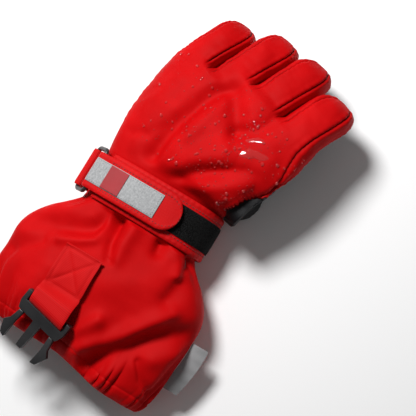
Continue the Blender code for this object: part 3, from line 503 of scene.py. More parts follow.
def cloth_piece(name, grids, thickness, material, sharp=50.0):
    """Cloth of one thickness over grids that share edges: their points merged, the inner skin set back along
    the normals, and a rim along every open edge. A grid's fourth number, if it has one, is how deep its point
    lies in a seam, kept as the attribute that paints shade into the cloth's colour along the seam's groove."""
    whole = np.concatenate([grid.reshape(-1, grid.shape[-1]) for grid in grids])
    points, seams = whole[:, :3], whole[:, 3] if whole.shape[1] > 3 else whole[:, 0] * 0.0
    grids = [grid[..., :3] for grid in grids]
    uv = np.concatenate([lengths_along(grid).reshape(-1, 2) for grid in grids])
    starts = np.cumsum([0] + [grid.shape[0] * grid.shape[1] for grid in grids])
    quads = np.concatenate([grid_quads(*grid.shape[:2], start) for grid, start in zip(grids, starts)])
    _, first, merged = np.unique(np.round(points, 3), axis=0, return_index=True, return_inverse=True)
    merged = merged.reshape(-1)
    points, seams = points[first], seams[first]
    count = len(points)
    parts = clean_faces(quads, merged)
    groups, owners = ([np.concatenate([part[which] for part in parts if part[0].shape[1] == size]) for size in (4, 3)]
                      for which in (0, 1))
    normals = point_normals(points, groups)
    starts_of, ends_of, edge_uv = [], [], []
    for group, own in zip(groups, owners):
        starts_of.append(group.ravel())
        ends_of.append(np.roll(group, -1, axis=1).ravel())
        edge_uv.append(np.stack([own.ravel(), np.roll(own, -1, axis=1).ravel()], -1))
    starts_of, ends_of, edge_uv = np.concatenate(starts_of), np.concatenate(ends_of), np.concatenate(edge_uv)
    open_edge = ~np.isin(starts_of * count + ends_of, ends_of * count + starts_of)
    a, b = starts_of[open_edge], ends_of[open_edge]
    rim = np.stack([b, a, a + count, b + count], -1)
    faces, loops = [], []
    for group, own in zip(groups, owners):
        faces += group.tolist() + (group[:, ::-1] + count).tolist()
        loops += [uv[own].reshape(-1, 2), uv[own[:, ::-1]].reshape(-1, 2)]
    faces += rim.tolist()
    rim_uv = uv[edge_uv[open_edge]]
    loops.append(np.stack([rim_uv[:, 1], rim_uv[:, 0], rim_uv[:, 0], rim_uv[:, 1]], 1).reshape(-1, 2))
    both = np.concatenate([points, points - normals * thickness])
    made = object_of(name, both, faces, material, np.concatenate(loops), sharp)
    # The seam attribute carries the painted shade of the seams' grooves into the material.
    attribute = made.data.attributes.new("seam", "FLOAT", "POINT")
    attribute.data.foreach_set("value", np.concatenate([seams, seams]).astype(np.float32))
    return made


def swept_piece(name, rings, material, sharp=50.0, closed=False):
    """A solid from a stack of rings of points. Open ends get a cap, and a closed stack joins its last ring to its
    first."""
    rows, around = rings.shape[:2]
    loop_uv = lengths_along(np.concatenate([rings, rings[:, :1]], axis=1))
    padded_quads = grid_quads(rows, around + 1)
    quads = grid_quads(rows, around, around=True)
    faces = quads.tolist()
    uv = [loop_uv.reshape(-1, 2)[padded_quads].reshape(-1, 2)]
    if closed:
        last = np.arange(around) + (rows - 1) * around
        first = np.arange(around)
        join = np.stack([last, first, np.roll(first, -1), np.roll(last, -1)], -1)
        faces += join.tolist()
        uv.append(np.zeros((len(join) * 4, 2)))
    else:
        faces.append(list(range(around))[::-1])
        faces.append(list(range((rows - 1) * around, rows * around)))
        uv.append(np.zeros((around * 2, 2)))
    return object_of(name, rings.reshape(-1, 3), faces, material, np.concatenate(uv), sharp)


def face_outwards(made):
    """Turns a closed mesh's faces outwards where its signed volume is negative."""
    mesh = made.data
    points = np.empty(len(mesh.vertices) * 3)
    mesh.vertices.foreach_get("co", points)
    points = points.reshape(-1, 3)
    mesh.calc_loop_triangles()
    triangles = np.empty(len(mesh.loop_triangles) * 3, np.int32)
    mesh.loop_triangles.foreach_get("vertices", triangles)
    a, b, c = (points[triangles.reshape(-1, 3)[:, k]] for k in range(3))
    if np.einsum("ij,ij->", a, np.cross(b, c)) < 0:
        mesh.flip_normals()
    return made


def goes_on(made, body, nodes=(), blend=None):
    """Puts a piece on its CAD body, or with a blend keeps it where it is with its transform baked into its points,
    and hides the CAD nodes it stands for.
    """
    if blend:
        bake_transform(made)
    else:
        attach(made, body)
    if nodes:
        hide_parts(*nodes)
    return made


# ---------------------------------------------------------------- the tube of the hand and cuff

# The same driving sizes as the CAD's, and the powers of the superellipses that round off each section.
OVAL = 2.6
FINGER_OVAL = 2.45
FLOOR_SINK = 1.5
SEAM_V = 17.0
WRIST_TURN = math.radians(24.5)
CUFF_LENGTH = 110.0
CUFF_HALF_WIDTH = 68.0
WRIST_HALF_WIDTH = 43.0
WRIST_HEIGHT = 42.0
ROOT_V = 104.0
HAND_ROLL = math.tan(math.radians(12.0))
PALM_UNDERSIDE = 18.3
HAND_TOP = 51.5
FINGER_HALF_HEIGHT = 13.2
FINGER_GAP = 0.8
FINGER_DOME = 14.0
FINGER_NAMES = ("index", "middle", "ring", "pinky")
FINGER_DROPS = {"index": 9.0, "middle": 10.0, "ring": 10.0, "pinky": 9.0}
CUFF_WAY = np.array([math.sin(WRIST_TURN), -math.cos(WRIST_TURN)])
ACROSS_WRIST = np.array([math.cos(WRIST_TURN), math.sin(WRIST_TURN)])


PIVOTS = {joint["child"]: tuple(n / MM for n in joint["pos_m"]) for joint in frame["joints"]}


def finger_sizes():
    """Each finger's middle x, half width, length and hinge y, from its CAD panels and its joint."""
    sizes = {}
    for name in FINGER_NAMES:
        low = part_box(f"{name}_finger_inner_wall")[0] / MM
        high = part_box(f"{name}_finger_outer_wall")[1] / MM
        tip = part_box(f"{name}_finger_back")[1].y / MM
        hinge = PIVOTS[f"{name}_finger"][1]
        sizes[name] = ((low.x + high.x) / 2, (high.x - low.x) / 2, tip - hinge, hinge)
    return sizes


FINGERS = finger_sizes()
HAND_RIGHT_X = FINGERS["index"][0] + FINGERS["index"][1]
HAND_LEFT_X = FINGERS["pinky"][0] - FINGERS["pinky"][1]
HAND_MIDDLE_X = (HAND_RIGHT_X + HAND_LEFT_X) / 2
HAND_HALF = (HAND_RIGHT_X - HAND_LEFT_X) / 2
ROOT_MIDDLE_Z = (PALM_UNDERSIDE + HAND_TOP - 4.0) / 2


def tube_rows():
    """v, middle x and y, turn, half width, underside, top and roll of the sections that shape the tube."""
    rows = []
    for share, width, top in ((1.0, 0.84, 34.0), (0.93, 0.9, 39.0), (0.82, 0.955, 43.0), (0.57, 1.0, 46.0),
                              (0.4, 0.96, 46.0), (0.29, 0.84, 45.0)):
        middle = CUFF_WAY * CUFF_LENGTH * share
        rows.append((-CUFF_LENGTH * share, *middle, WRIST_TURN, CUFF_HALF_WIDTH * width, -FLOOR_SINK, top, 0.0))
    for v in (-18.0, 0.0, SEAM_V):
        rows.append((v, *(-CUFF_WAY * v), WRIST_TURN, WRIST_HALF_WIDTH, -FLOOR_SINK, WRIST_HEIGHT, 0.0))
    x, half, low = HAND_MIDDLE_X, HAND_HALF, PALM_UNDERSIDE
    rows += [
        (30.0, x + 9.0, 28.0, math.radians(11), half - 6.5, low - 2.5, HAND_TOP - 3, HAND_ROLL * 0.7),
        (48.0, x + 4.0, 45.5, math.radians(4), half - 4.0, low, HAND_TOP, HAND_ROLL * 0.9),
        (65.0, x + 1.0, 62.0, 0.0, half - 1.0, low, HAND_TOP, HAND_ROLL),
        (86.0, x, 83.0, 0.0, half, low, HAND_TOP - 2, HAND_ROLL),
        (ROOT_V, x, 101.0, 0.0, half, low, HAND_TOP - 4, HAND_ROLL),
    ]
    return np.array(rows)


ROWS = tube_rows()
SLOPES = np.gradient(ROWS, ROWS[:, 0], axis=0)


def section(v):
    """The tube's eight numbers at v: a cubic through its rows that keeps their slopes."""
    keys = ROWS[:, 0]
    v = np.clip(v, keys[0], keys[-1])
    at = np.clip(np.searchsorted(keys, v) - 1, 0, len(keys) - 2)
    span = (keys[at + 1] - keys[at])[..., None]
    t = (v - keys[at])[..., None] / span
    made = (
        ROWS[at] * (2 * t**3 - 3 * t**2 + 1)
        + ROWS[at + 1] * (3 * t**2 - 2 * t**3)
        + SLOPES[at] * span * (t**3 - 2 * t**2 + t)
        + SLOPES[at + 1] * span * (t**3 - t**2)
    )
    return np.moveaxis(made, -1, 0)


def oval(c, power=OVAL):
    """Height of a unit superellipse at c: the power-th root of one less |c| to that power."""
    return np.clip(1 - np.abs(c) ** power, 0.0, 1.0) ** (1 / power)


def tube(v, c, side, depth=0.0):
    """Points of the tube's upper (side 1) or lower (side -1) half: across is the half width times c, and z is the
    middle height plus the oval's height, plus the roll times across."""
    _, x, y, turn, half, low, top, roll = section(v)
    across = (half - depth) * c
    z = (low + top) / 2 + ((top - low) / 2 - depth) * oval(c) * side + across * roll
    return np.stack([x + across * np.cos(turn), y + across * np.sin(turn), np.maximum(z, depth)], -1)


def bell(distance, width):
    """A bell curve: one at distance 0, and e to the minus square of distance over width elsewhere."""
    return np.exp(-((distance / width) ** 2))


def signed_power(x, power):
    """The size of x raised to a power, with the sign of x."""
    return np.sign(x) * np.abs(x) ** power


def mirrored(phi):
    """An angle from 0 to a half turn that is the same on both sides of the seam at 0."""
    return np.minimum(phi, 2 * math.pi - phi)


def length_to(path):
    """Each point's distance along its path, as a running sum of the steps."""
    return np.concatenate([[0.0], np.cumsum(np.linalg.norm(np.diff(path, axis=0), axis=1))])


def ease(x):
    """A smooth step: three x squared less two x cubed, with x kept between 0 and 1."""
    x = np.clip(x, 0.0, 1.0)
    return x * x * (3 - 2 * x)


def rippled(a, b, size, seed):
    """Smooth, repeatable unevenness between about -1 and 1: seven sine waves in different directions and phases."""
    chance = np.random.default_rng(seed)
    total = 0.0
    for _ in range(7):
        way, phase, stretch = chance.uniform(0, 2 * math.pi, 3)
        wave = 2 * math.pi / (size * (0.7 + 0.12 * stretch))
        total = total + np.sin((a * math.cos(way) + b * math.sin(way)) * wave + phase)
    return total / 3.7


def fold(x, y, route, amount, width, fade=0.0):
    """A fold along a line of points: amount times a bell curve of the distance to the line. With fade it weakens
    towards the line's last point."""
    nearest = np.full(np.shape(x), np.inf)
    along = np.zeros(np.shape(x))
    count = len(route) - 1
    for k, ((ax, ay), (bx, by)) in enumerate(zip(route[:-1], route[1:])):
        dx, dy = bx - ax, by - ay
        t = np.clip(((x - ax) * dx + (y - ay) * dy) / (dx * dx + dy * dy), 0.0, 1.0)
        distance = np.hypot(x - ax - t * dx, y - ay - t * dy)
        closer = distance < nearest
        along = np.where(closer, (k + t) / count, along)
        nearest = np.minimum(nearest, distance)
    return amount * bell(nearest, width) * (1 - fade * along)


# The folds of the back of the hand: route, height, width and fade.
HAND_FOLDS = (
    (((-30, 77), (-31, 62), (-29, 44), (-25, 28), (-20, 17)), -5.2, 6.5, -0.2),
    (((-14, 15), (-19, 36), (-21, 56), (-25, 74)), 2.6, 7.0, 0.3),
    (((-26, 84), (-13, 77), (0, 70)), -3.6, 6.0, 0.0),
    (((0, 70), (7, 80), (6, 97)), -3.4, 5.5, 0.2),
    (((-2, 20), (5, 35), (17, 49), (28, 62)), -5.4, 5.5, 0.25),
    (((10, 23), (21, 43), (30, 60), (27, 78)), 2.6, 5.0, 0.2),
    (((-5, 22), (-2, 40), (4, 56)), 3.2, 8.0, 0.2),
    (((14, 25), (22, 30)), -2.0, 2.2, 0.0),
    (((28, 29), (33, 38)), -1.8, 2.4, 0.0),
    (((-44, 16), (-36, 24), (-34, 36)), -1.8, 3.5, 0.6),
    (((-54, 30), (-52, 48), (-54, 62)), 1.2, 6.0, 0.2),
    (((-10, 86), (-8, 97)), 1.4, 6.5, 0.0),
    (((-36, 80), (-36, 94)), 1.2, 6.0, 0.0),
    (((18, 84), (20, 98)), 1.4, 7.0, 0.0),
)

# The folds of the cuff's upper side.
CUFF_FOLDS = (
    (((-5, -24), (-5, -36), (-12, -45), (-22, -56), (-34, -66)), -7.0, 7.5, 0.3),
    (((-9, -20), (-2, -31), (1.5, -40), (-3, -48), (-12, -58)), 4.2, 3.6, 0.35),
    (((-2, -19), (5, -27), (10, -34), (18, -40)), -5.4, 3.4, 0.45),
    (((9, -15), (14, -25), (20, -36)), 3.4, 5.0, 0.35),
    (((28, -7), (31, -12)), -6.5, 4.2, 0.4),
    (((34, -2), (42, -5), (49, -11)), 3.6, 3.6, 0.3),
    (((44, 1), (49, -3)), -3.6, 2.4, 0.2),
    (((52, -86), (58, -70), (63, -49), (67, -26)), 4.6, 5.0, 0.3),
    (((60, -84), (67, -66), (74, -47), (83, -28)), -7.2, 6.5, 0.2),
    (((80, -57), (88, -61), (94, -62)), -2.6, 2.4, 0.2),
    (((83, -50), (90, -32)), 2.2, 4.5, 0.0),
    (((45, -66), (43, -80)), 3.0, 4.5, 0.2),
    (((-30, -20), (-36, -36), (-44, -54)), -4.0, 5.0, 0.3),
    (((-38, -16), (-46, -32), (-56, -50)), 2.4, 6.0, 0.3),
    (((-20, -70), (-28, -88)), -3.4, 6.0, 0.0),
    (((0, -74), (6, -92)), 2.2, 8.0, 0.0),
    (((57, -12), (60, -24)), -3.0, 6.0, 0.0),
    (((24, -60), (34, -44), (44, -30)), 1.6, 9.0, 0.0),
)


def hand_relief(x, y, c, side, v):
    """How far the hand's cloth stands off the smooth tube: its folds above, soft creases below."""
    inside = 1 - np.abs(c) ** 8
    total = 0.32 * rippled(x, y, 19.0, 3) + 0.1 * rippled(x, y, 7.0, 4)
    if side > 0:
        total = total + sum(fold(x, y, *one) for one in HAND_FOLDS) * inside
    else:
        total = total - 1.4 * bell(y - 60 - 0.35 * x, 3.0) * inside
        total = total - 1.1 * bell(y - 48 + 0.5 * x, 3.5) * inside
    gathered = np.sin(c * 19.0 + 0.6 * np.sin(c * 7.0)) * bell(v - SEAM_V, 9.0)
    return (total + 0.7 * gathered) * ease((v - SEAM_V - 0.5) / 9.0)


V_PAST_Y = 3.0  # how far v is ahead of y over the hand and the fingers
GIRTH = 13.5  # millimetres for each radian round a finger


def full_rows(v):
    """Rows of full width and height at v: v, y, width share, height share and dome angle."""
    ones = np.ones_like(v)
    return np.stack([v, v - V_PAST_Y, ones, ones, v * 0.0])


def rows_of(start_v, end_v, step):
    """Evenly spaced full rows between two values of v."""
    return full_rows(np.linspace(start_v, end_v, max(int(round((end_v - start_v) / step)), 2) + 1))


def finger_rows(name, start_v, step, depth=0.0):
    """Rows from the hand to the finger's tip. On the dome the width and height shares follow blunt superellipses."""
    _, _, length, hinge = FINGERS[name]
    straight_y = hinge + length - FINGER_DOME
    straight_v = straight_y + V_PAST_Y
    body = full_rows(np.linspace(start_v, straight_v, int((straight_v - start_v) / step) + 1))
    angle = np.linspace(0.0, math.pi / 2, max(int(22 / step), 8) + 1)[1:]
    y = straight_y + (FINGER_DOME - depth) * np.sin(angle) ** (2 / 2.4)
    cos = np.clip(np.cos(angle), 0.0, 1.0)
    cos[-1] = 0.0
    dome = np.stack([y + V_PAST_Y, y, cos ** (2 / 2.9), cos ** (2 / 2.2), angle])
    return np.concatenate([body, dome], axis=1)


# Where each side of a finger starts to leave the hand, and where it has left it: at the crotch, or by the hinge.
PARTING = {
    "index": ((94.2, 101.7), (77.0, 101.0)),
    "middle": ((92.4, 99.9), (94.2, 101.7)),
    "ring": ((77.2, 84.7), (92.4, 99.9)),
    "pinky": ((64.0, 88.0), (77.2, 84.7)),
}
LOW_ROOT_V, HIGH_ROOT_V = 80.2, 95.4  # where the fingers' own cloth begins
FINGER_START_V = {"index": HIGH_ROOT_V, "middle": HIGH_ROOT_V, "ring": LOW_ROOT_V, "pinky": LOW_ROOT_V}
STEP = 0.85  # spacing of the rows of the outer cloth
SHELL_THICKNESS = 1.0
WADDING_THICKNESS = 3.3
GRIP_PATCH = (61.0, 87.0, -0.8, 0.3)  # from and to along the hand, and across it as shares of its half width
LINING = ("lining", 6.1, 0.8, "lining", "dark_lining")  # part, depth, thickness, finish and slot
TOP_SEAM = math.radians(50.0)
LOW_SEAM = math.radians(34.0)
SIDE_SEAM_Y = (58.0, 97.0)  # the side panel's seam climbs from the hand's edge between these


def palm_edge_angle(y):
    """The angle of the palm's edge on the index side: low beside the finger, above the hand's edge by the wrist."""
    return np.radians(np.interp(y, (30.0, 46.0, 58.0, 68.0, 88.0), (15.0, 12.0, 0.0, -16.0, math.degrees(-LOW_SEAM))))


def side_seam_angle(y, low=math.radians(5.0)):
    """The angle of the seam above the edge: it eases from the hand's edge up to the fingers' seam height, and
    stays above the palm's edge."""
    start, end = SIDE_SEAM_Y
    eased = low + (TOP_SEAM - low) * ease((y - start) / (end - start))
    return np.maximum(eased, palm_edge_angle(y) + math.radians(2.5))


def thumb_base_swell(v, y, phi, depth):
    """How far the index side moves out in x and down in z: the palm's edge swells over the thumb's base, the palm
    comes down to meet the thumb, and the red above draws in by the strap. Layers inside swell less."""
    angle = np.where(phi > math.pi, phi - 2 * math.pi, phi)
    starts = ease((v - SEAM_V - 0.3) / 7.0)
    less = max(0.0, 1 - 0.25 * depth)
    higher = ease((y - 52.0) / 22.0)
    top, blur = math.radians(24.0) + math.radians(50.0) * higher, math.radians(30.0) + math.radians(40.0) * higher
    below = ease((top - angle) / blur)
    under = ease((angle + math.radians(100.0)) / math.radians(60.0))
    out = 6.4 * ease((116.0 - y) / 40.0) * starts * less
    above = ease((math.radians(80.0) - angle) / math.radians(50.0))
    drawn_in = 3.6 * bell(v - 29.0, 10.0) * starts * above
    down = 12.5 * ease((phi - math.pi - 0.15) / 1.2) * ease((2 * math.pi - phi) / 0.85) * ease((84.0 - y) / 26.0)
    return out * below * under - drawn_in * (1 - below), down * starts * less


def seam_marks(distance, along, strength, seed):
    """A sewn seam: a narrow groove, a soft roll on each side, and puckers that fade away from it. Its depth is
    one less the distance over 0.75 mm, and sets how strongly painted shade darkens the cloth's colour in the groove."""
    groove = -1.0 * bell(distance, 0.7)
    roll = 0.45 * bell(np.abs(distance) - 2.4, 1.7)
    pucker = 0.22 * np.sin(along * 2 * math.pi / 3.6 + 1.5 * np.sin(along * 0.37 + seed))
    pucker = pucker * bell(np.abs(distance) - 1.4, 1.8)
    # The painted shade along the seam's groove, strongest at its middle.
    deep = np.clip(1.0 - np.abs(distance) / 0.75, 0.0, 1.0) * strength
    return np.stack(np.broadcast_arrays((groove + roll + pucker) * strength, deep), -1)


def strip(name, rows, phi, side, depth=0.0):
    """A finger's half, above or below, from the hand to its tip. Over the hand it lies on the tube. Each side
    leaves for the finger's own oval over its parting, and the middle goes with the mean of the two."""
    v, y, wide, tall, alpha = (row[:, None] for row in rows)
    middle, half, length, hinge = FINGERS[name]
    phi = np.broadcast_to(phi, (rows.shape[1], np.shape(phi)[-1]))
    cos, sin = np.cos(phi), np.abs(np.sin(phi))
    u = signed_power(cos, 2 / FINGER_OVAL)
    u = np.where(np.abs(cos) < 1e-9, 0.0, u)
    c = np.clip((middle + (half + FINGER_GAP / 2) * u - HAND_MIDDLE_X) / HAND_HALF, -1.0, 1.0)
    v = np.broadcast_to(v, c.shape)
    hand = tube(v, c, side, depth)
    hand_way = np.stack([signed_power(c, OVAL / 2), 0 * c, side * oval(c) ** (OVAL / 2)], -1)
    swell = hand_relief(hand[..., 0], hand[..., 1], c, side, v)
    hand = hand + hand_way * swell[..., None]
    if name == "index":
        out, down = thumb_base_swell(v, y, phi, depth)
        hand[..., 2] -= down
    lean = HAND_ROLL * (1 - ease((y - hinge) / 22.0))
    a = (half - depth) * wide
    lift = (FINGER_HALF_HEIGHT - depth) * tall * sin ** (2 / FINGER_OVAL) * side
    root_z = ROOT_MIDDLE_Z + (middle - HAND_MIDDLE_X) * HAND_ROLL
    drop = FINGER_DROPS[name] * (np.maximum(y - hinge, 0.0) / length) ** 1.4
    slant = 2.3 * (1 - a * u / half) * ease((y - hinge - length + 26.0) / 26.0)
    own = np.stack([middle + a * u, y - slant, root_z + a * u * lean - drop + lift], -1)
    own_way = np.stack([cos * np.cos(alpha), np.sin(alpha) + 0 * cos, side * sin * np.cos(alpha)], -1)
    seed = FINGER_NAMES.index(name)
    around = mirrored(phi) * GIRTH
    along = y + 0 * around
    soft = 0.3 * rippled(along, around, 16.0, 20 + seed) + 0.08 * rippled(along, around, 6.0, 30 + seed)
    bend_crease = -0.6 * bell(y - hinge - 4.0, 2.2) * sin**2 if side < 0 else 0.0
    own = own + own_way * ((soft + bend_crease) * np.minimum(tall * 1.6, 1.0))[..., None]
    (left_start, left_end), (right_start, right_end) = PARTING[name]
    t_left = ease((y - left_start) / (left_end - left_start))
    t_right = ease((y - right_start) / (right_end - right_start))
    t = t_left * (1 - u) / 2 + t_right * (1 + u) / 2
    way = hand_way + (own_way - hand_way) * t[..., None]
    marks = 0.0
    reach = GIRTH * np.maximum(wide, 0.25)
    signed = phi if side > 0 else phi - 2 * math.pi
    by_hand = ease((y - 20.0) / 10.0)
    right_seams = [(TOP_SEAM, t_right), (-LOW_SEAM, t_right)]
    left_seams = [(math.pi - TOP_SEAM, t_left), (math.pi + LOW_SEAM, t_left)]
    if name == "index":
        right_seams = [(side_seam_angle(y), by_hand), (palm_edge_angle(y), by_hand)]
    if name == "pinky":
        left_seams[0] = (math.pi - side_seam_angle(y, math.radians(7.0)), by_hand)
    for angle, seams in ((signed, right_seams), (phi, left_seams)):
        for seam, shown in seams:
            marks = marks + seam_marks((angle - seam) * reach, along, shown, seed)
    made = hand + (own - hand) * t[..., None] + way * (marks[..., 0] * np.minimum(tall * 2.5, 1.0))[..., None]
    if name == "index":
        made[..., 0] += out
        if depth > 0:
            made[..., 0] -= 5.0 * np.maximum(cos, 0.0) * bell(v - 26.0, 16.0)
    # The fourth number of each point is the seams' painted shade.
    return np.concatenate([made, marks[..., 1:]], -1)


def arc(low, high, count):
    """Evenly spaced numbers from low to high, both included."""
    return np.linspace(low, high, count)


def hand_rows(name, step):
    """Rows of the hand from the wrist's seam to where this finger's own cloth begins."""
    rows = rows_of(SEAM_V, LOW_ROOT_V, step)
    if FINGER_START_V[name] > LOW_ROOT_V:
        rows = np.concatenate([rows, rows_of(LOW_ROOT_V, HIGH_ROOT_V, step)[:, 1:]], axis=1)
    return rows


def make_back_of_hand(materials):
    """The back of the hand in one piece of cloth: four strips side by side, each up to its finger's root."""
    grids = []
    for name in FINGER_NAMES:
        rows = hand_rows(name, STEP)
        share = arc(0.0, 1.0, 44)
        start = side_seam_angle(rows[1])[:, None] if name == "index" else np.zeros((rows.shape[1], 1))
        grids.append(strip(name, rows, start + (math.pi - start) * share[None, :], 1))
    made = cloth_piece("back_of_hand", grids, SHELL_THICKNESS, materials["shell"])
    goes_on(made, "hand", ["hand_back_shell"])


def make_side_panel(materials):
    """The red panel between the palm's edge and the back's seam, from a strip above angle 0 and one below it."""
    rows = hand_rows("index", STEP)
    edge, top = palm_edge_angle(rows[1])[:, None], side_seam_angle(rows[1])[:, None]
    share = arc(0.0, 1.0, 14)[None, :]
    upper = np.maximum(edge, 0.0) + (top - np.maximum(edge, 0.0)) * share
    lower = 2 * math.pi + np.minimum(edge, 0.0) * (1 - share)
    grids = [strip("index", rows, lower, -1), strip("index", rows, upper, 1)]
    made = cloth_piece("index_side_panel", grids, SHELL_THICKNESS, materials["shell"])
    goes_on(made, "hand", ["hand_side_panel"])


def make_palm(materials):
    """The black palm up to its edge on the index side, and the grip patch: the tube's underside, lowered along
    bars that a sine of c gives."""
    grids = []
    for name in FINGER_NAMES:
        rows = hand_rows(name, STEP * 1.3)
        edge = palm_edge_angle(rows[1])[:, None] if name == "index" else 0.0 * rows[1][:, None]
        share = arc(0.0, 1.0, 34)[None, :]
        grids.append(strip(name, rows, math.pi + (math.pi + np.minimum(edge, 0.0)) * share, -1))
        if name == "index":
            grids.append(strip(name, rows, np.maximum(edge, 0.0) * arc(0.0, 1.0, 10)[None, :], 1))
    made = cloth_piece("palm_of_hand", grids, SHELL_THICKNESS, materials["palm"])
    goes_on(made, "hand", ["hand_palm_shell"])
    low_v, high_v, left_c, right_c = GRIP_PATCH
    c, v = np.broadcast_arrays(arc(right_c, left_c, 120)[None, :], arc(low_v, high_v, 60)[:, None])
    surface = tube(v, c, -1, -1.5)
    edge = ease(np.minimum(v - low_v, high_v - v) / 2.2) * ease(np.minimum(right_c - c, c - left_c) / 0.05)
    bars = np.clip(np.sin(c * 27.0 + np.sin(v * 0.25) * 0.7) * 3.0, -1.0, 1.0)
    surface[..., 2] += 1.35 * (1 - edge) - 0.35 * bars * edge
    surface[..., 2] -= 0.95 * hand_relief(surface[..., 0], surface[..., 1], c, -1, v)
    patch = cloth_piece("palm_grip_patch", [surface[:, ::-1]], 0.5, materials["grip"])
    goes_on(patch, "hand", ["palm_patch"])


def make_finger(name, materials):
    """A finger's cloth: back, two side walls and palm, which meet along four seams and close at the tip."""
    body = f"{name}_finger"
    x, _, _, hinge = FINGERS[name]
    hinge_z = PIVOTS[body][2]
    (left_start, left_end), (right_start, right_end) = PARTING[name]
    rows = finger_rows(name, FINGER_START_V[name], STEP)
    start_y = max(left_end, right_end, hinge) + 0.3
    blend = ("hand", body, (x, start_y, hinge_z), (x, start_y + 12.0, hinge_z))
    left_row = int(np.argmax(rows[1] >= left_start)) if name != "pinky" else 0
    right_row = int(np.argmax(rows[1] >= right_start)) if name != "index" else 0
    top_left, low_left = math.pi - TOP_SEAM, math.pi + LOW_SEAM
    low_right = 2 * math.pi - LOW_SEAM
    back = [strip(name, rows, arc(TOP_SEAM, top_left, 34), 1)]
    outer = [strip(name, rows, arc(0.0, TOP_SEAM, 20), 1),
             strip(name, rows[:, right_row:], arc(low_right, 2 * math.pi, 14), -1)]
    inner = [strip(name, rows, arc(top_left, math.pi, 20), 1),
             strip(name, rows[:, left_row:], arc(math.pi, low_left, 14), -1)]
    palm = [strip(name, rows, arc(low_left, low_right, 40), -1)]
    if right_row:
        palm.append(strip(name, rows[:, : right_row + 1], arc(low_right, 2 * math.pi, 14), -1))
    if left_row:
        palm.append(strip(name, rows[:, : left_row + 1], arc(math.pi, low_left, 14), -1))
    for part, grids, finish, slot in (("back", back, "shell", "red_shell"),
                                      ("outer_wall", outer, "shell", "red_shell"),
                                      ("inner_wall", inner, "shell", "red_shell"),
                                      ("palm", palm, "palm", "black_palm")):
        made = cloth_piece(f"{body}_{part}_cloth", grids, SHELL_THICKNESS, materials[finish])
        goes_on(made, None, [f"{body}_{part}"], blend)
    wadding = ("wadding", 2.3, WADDING_THICKNESS, "wadding", "white_wadding")
    for part, depth, thickness, finish, slot in (wadding, LINING):
        inside = finger_rows(name, FINGER_START_V[name], STEP * 2.5, depth)
        grids = [strip(name, inside, arc(0.0, math.pi, 22), 1, depth),
                 strip(name, inside, arc(math.pi, 2 * math.pi, 22), -1, depth)]
        made = cloth_piece(f"{body}_{part}_layer", grids, thickness, materials[finish])
        goes_on(made, None, [f"{body}_{part}"], blend)


def make_inner_hand(materials):
    """The membrane, wadding and lining of the hand, each the hand's own shape drawn in by its depth."""
    membrane = ("membrane", 1.6, 0.5, "membrane", "grey_membrane")
    wadding = ("wadding", 2.4, WADDING_THICKNESS, "wadding", "white_wadding")
    for part, depth, thickness, finish, slot in (membrane, wadding, LINING):
        grids = []
        for name in FINGER_NAMES:
            rows = hand_rows(name, 2.2)
            grids.append(strip(name, rows, arc(0.0, math.pi, 18), 1, depth))
            grids.append(strip(name, rows, arc(math.pi, 2 * math.pi, 18), -1, depth))
        made = cloth_piece(f"hand_{part}_layer", grids, thickness, materials[finish])
        goes_on(made, "hand", [f"hand_{part}"])


# ---------------------------------------------------------------- the cuff

HEM_SEAM_V = -101.5
# The hem's section: distance along the cuff, and depth below its surface, from the seam round the fold and back.
HEM_PROFILE = (
    (-101.5, 0.0), (-103.0, -0.45), (-105.5, -0.75), (-108.0, -0.5), (-109.6, 0.2), (-110.2, 1.6), (-110.0, 3.0),
    (-109.0, 4.0), (-106.0, 4.3), (-103.0, 4.1), (-101.5, 4.0), (-101.5, 3.2), (-104.0, 3.3), (-108.0, 3.2),
    (-109.0, 2.4), (-109.0, 1.5), (-108.0, 0.6), (-104.0, 0.5), (-101.5, 0.8),
)


def cuff_relief(v, phi, x, y):
    """How far the cuff's cloth stands off the tube: its folds above, soft waves all round, gathers at the hem's
    elastic and beside the strap."""
    top = ease((np.sin(phi) + 0.05) / 0.45)
    total = sum(fold(x, y, *one) for one in CUFF_FOLDS) * top
    around = mirrored(phi) * 52.0
    total = total + 0.5 * rippled(around, v, 34.0, 41) + 0.08 * rippled(around, v, 11.0, 42)
    phase = 19.0 * phi + 1.5 * np.sin(phi * 5.0) + 0.9 * np.sin(phi * 11.0 + 1.0)
    puffs = np.abs(np.sin(phase + 0.35 * np.sin(v * 0.15 + phi * 4.0))) ** 0.6 - 0.66
    uneven = 0.75 + 0.35 * np.sin(phi * 7.0 + 0.8) + 0.2 * np.sin(phi * 17.0)
    broad = np.sin(13.0 * phi + 1.2 * np.sin(phi * 5.0) + 0.6)
    near_hem = bell(np.maximum(v + 107.0, 0.0), 12.0 + 4.0 * np.sin(phi * 9.0))
    total = total + 3.0 * puffs * uneven * near_hem + 1.7 * broad * bell(v + 98.0, 22.0)
    total = total - 0.3 * bell(v - HEM_SEAM_V, 0.8)
    radiating = np.sin(phi * 14.0 + 0.8 * np.sin(phi * 3.0)) * bell(v + 22.0, 8.0)
    total = total + 0.6 * radiating
    under_strap = 1 - ease((v + 18.5) / 3.0) * (1 - ease((v - 15.0) / 3.0))
    sewn = 1 - 0.999 * ease((v - SEAM_V + 3.0) / 3.0)
    return (total * under_strap - 0.5 * (1 - under_strap)) * sewn


def cuff(v, phi, depth=0.0):
    """Points of the cuff: the tube's oval at this angle, moved outwards by the relief, and flat on the floor."""
    v, phi = np.broadcast_arrays(v, phi)
    cos, sin = np.cos(phi), np.sin(phi)
    c = signed_power(cos, 2 / OVAL)
    base = tube(v, c, np.where(sin >= 0, 1.0, -1.0), depth)
    relief = cuff_relief(v, phi, base[..., 0], base[..., 1])
    way = np.stack([cos * ACROSS_WRIST[0], cos * ACROSS_WRIST[1], sin], -1)
    base = base + way * relief[..., None]
    slide = 7.0 * ease((-v - 62.0) / 46.0) * ease((c + 0.1) / 0.8)
    base[..., :2] += CUFF_WAY * slide[..., None]
    base[..., 2] = np.maximum(base[..., 2], depth + 0.05)
    return base


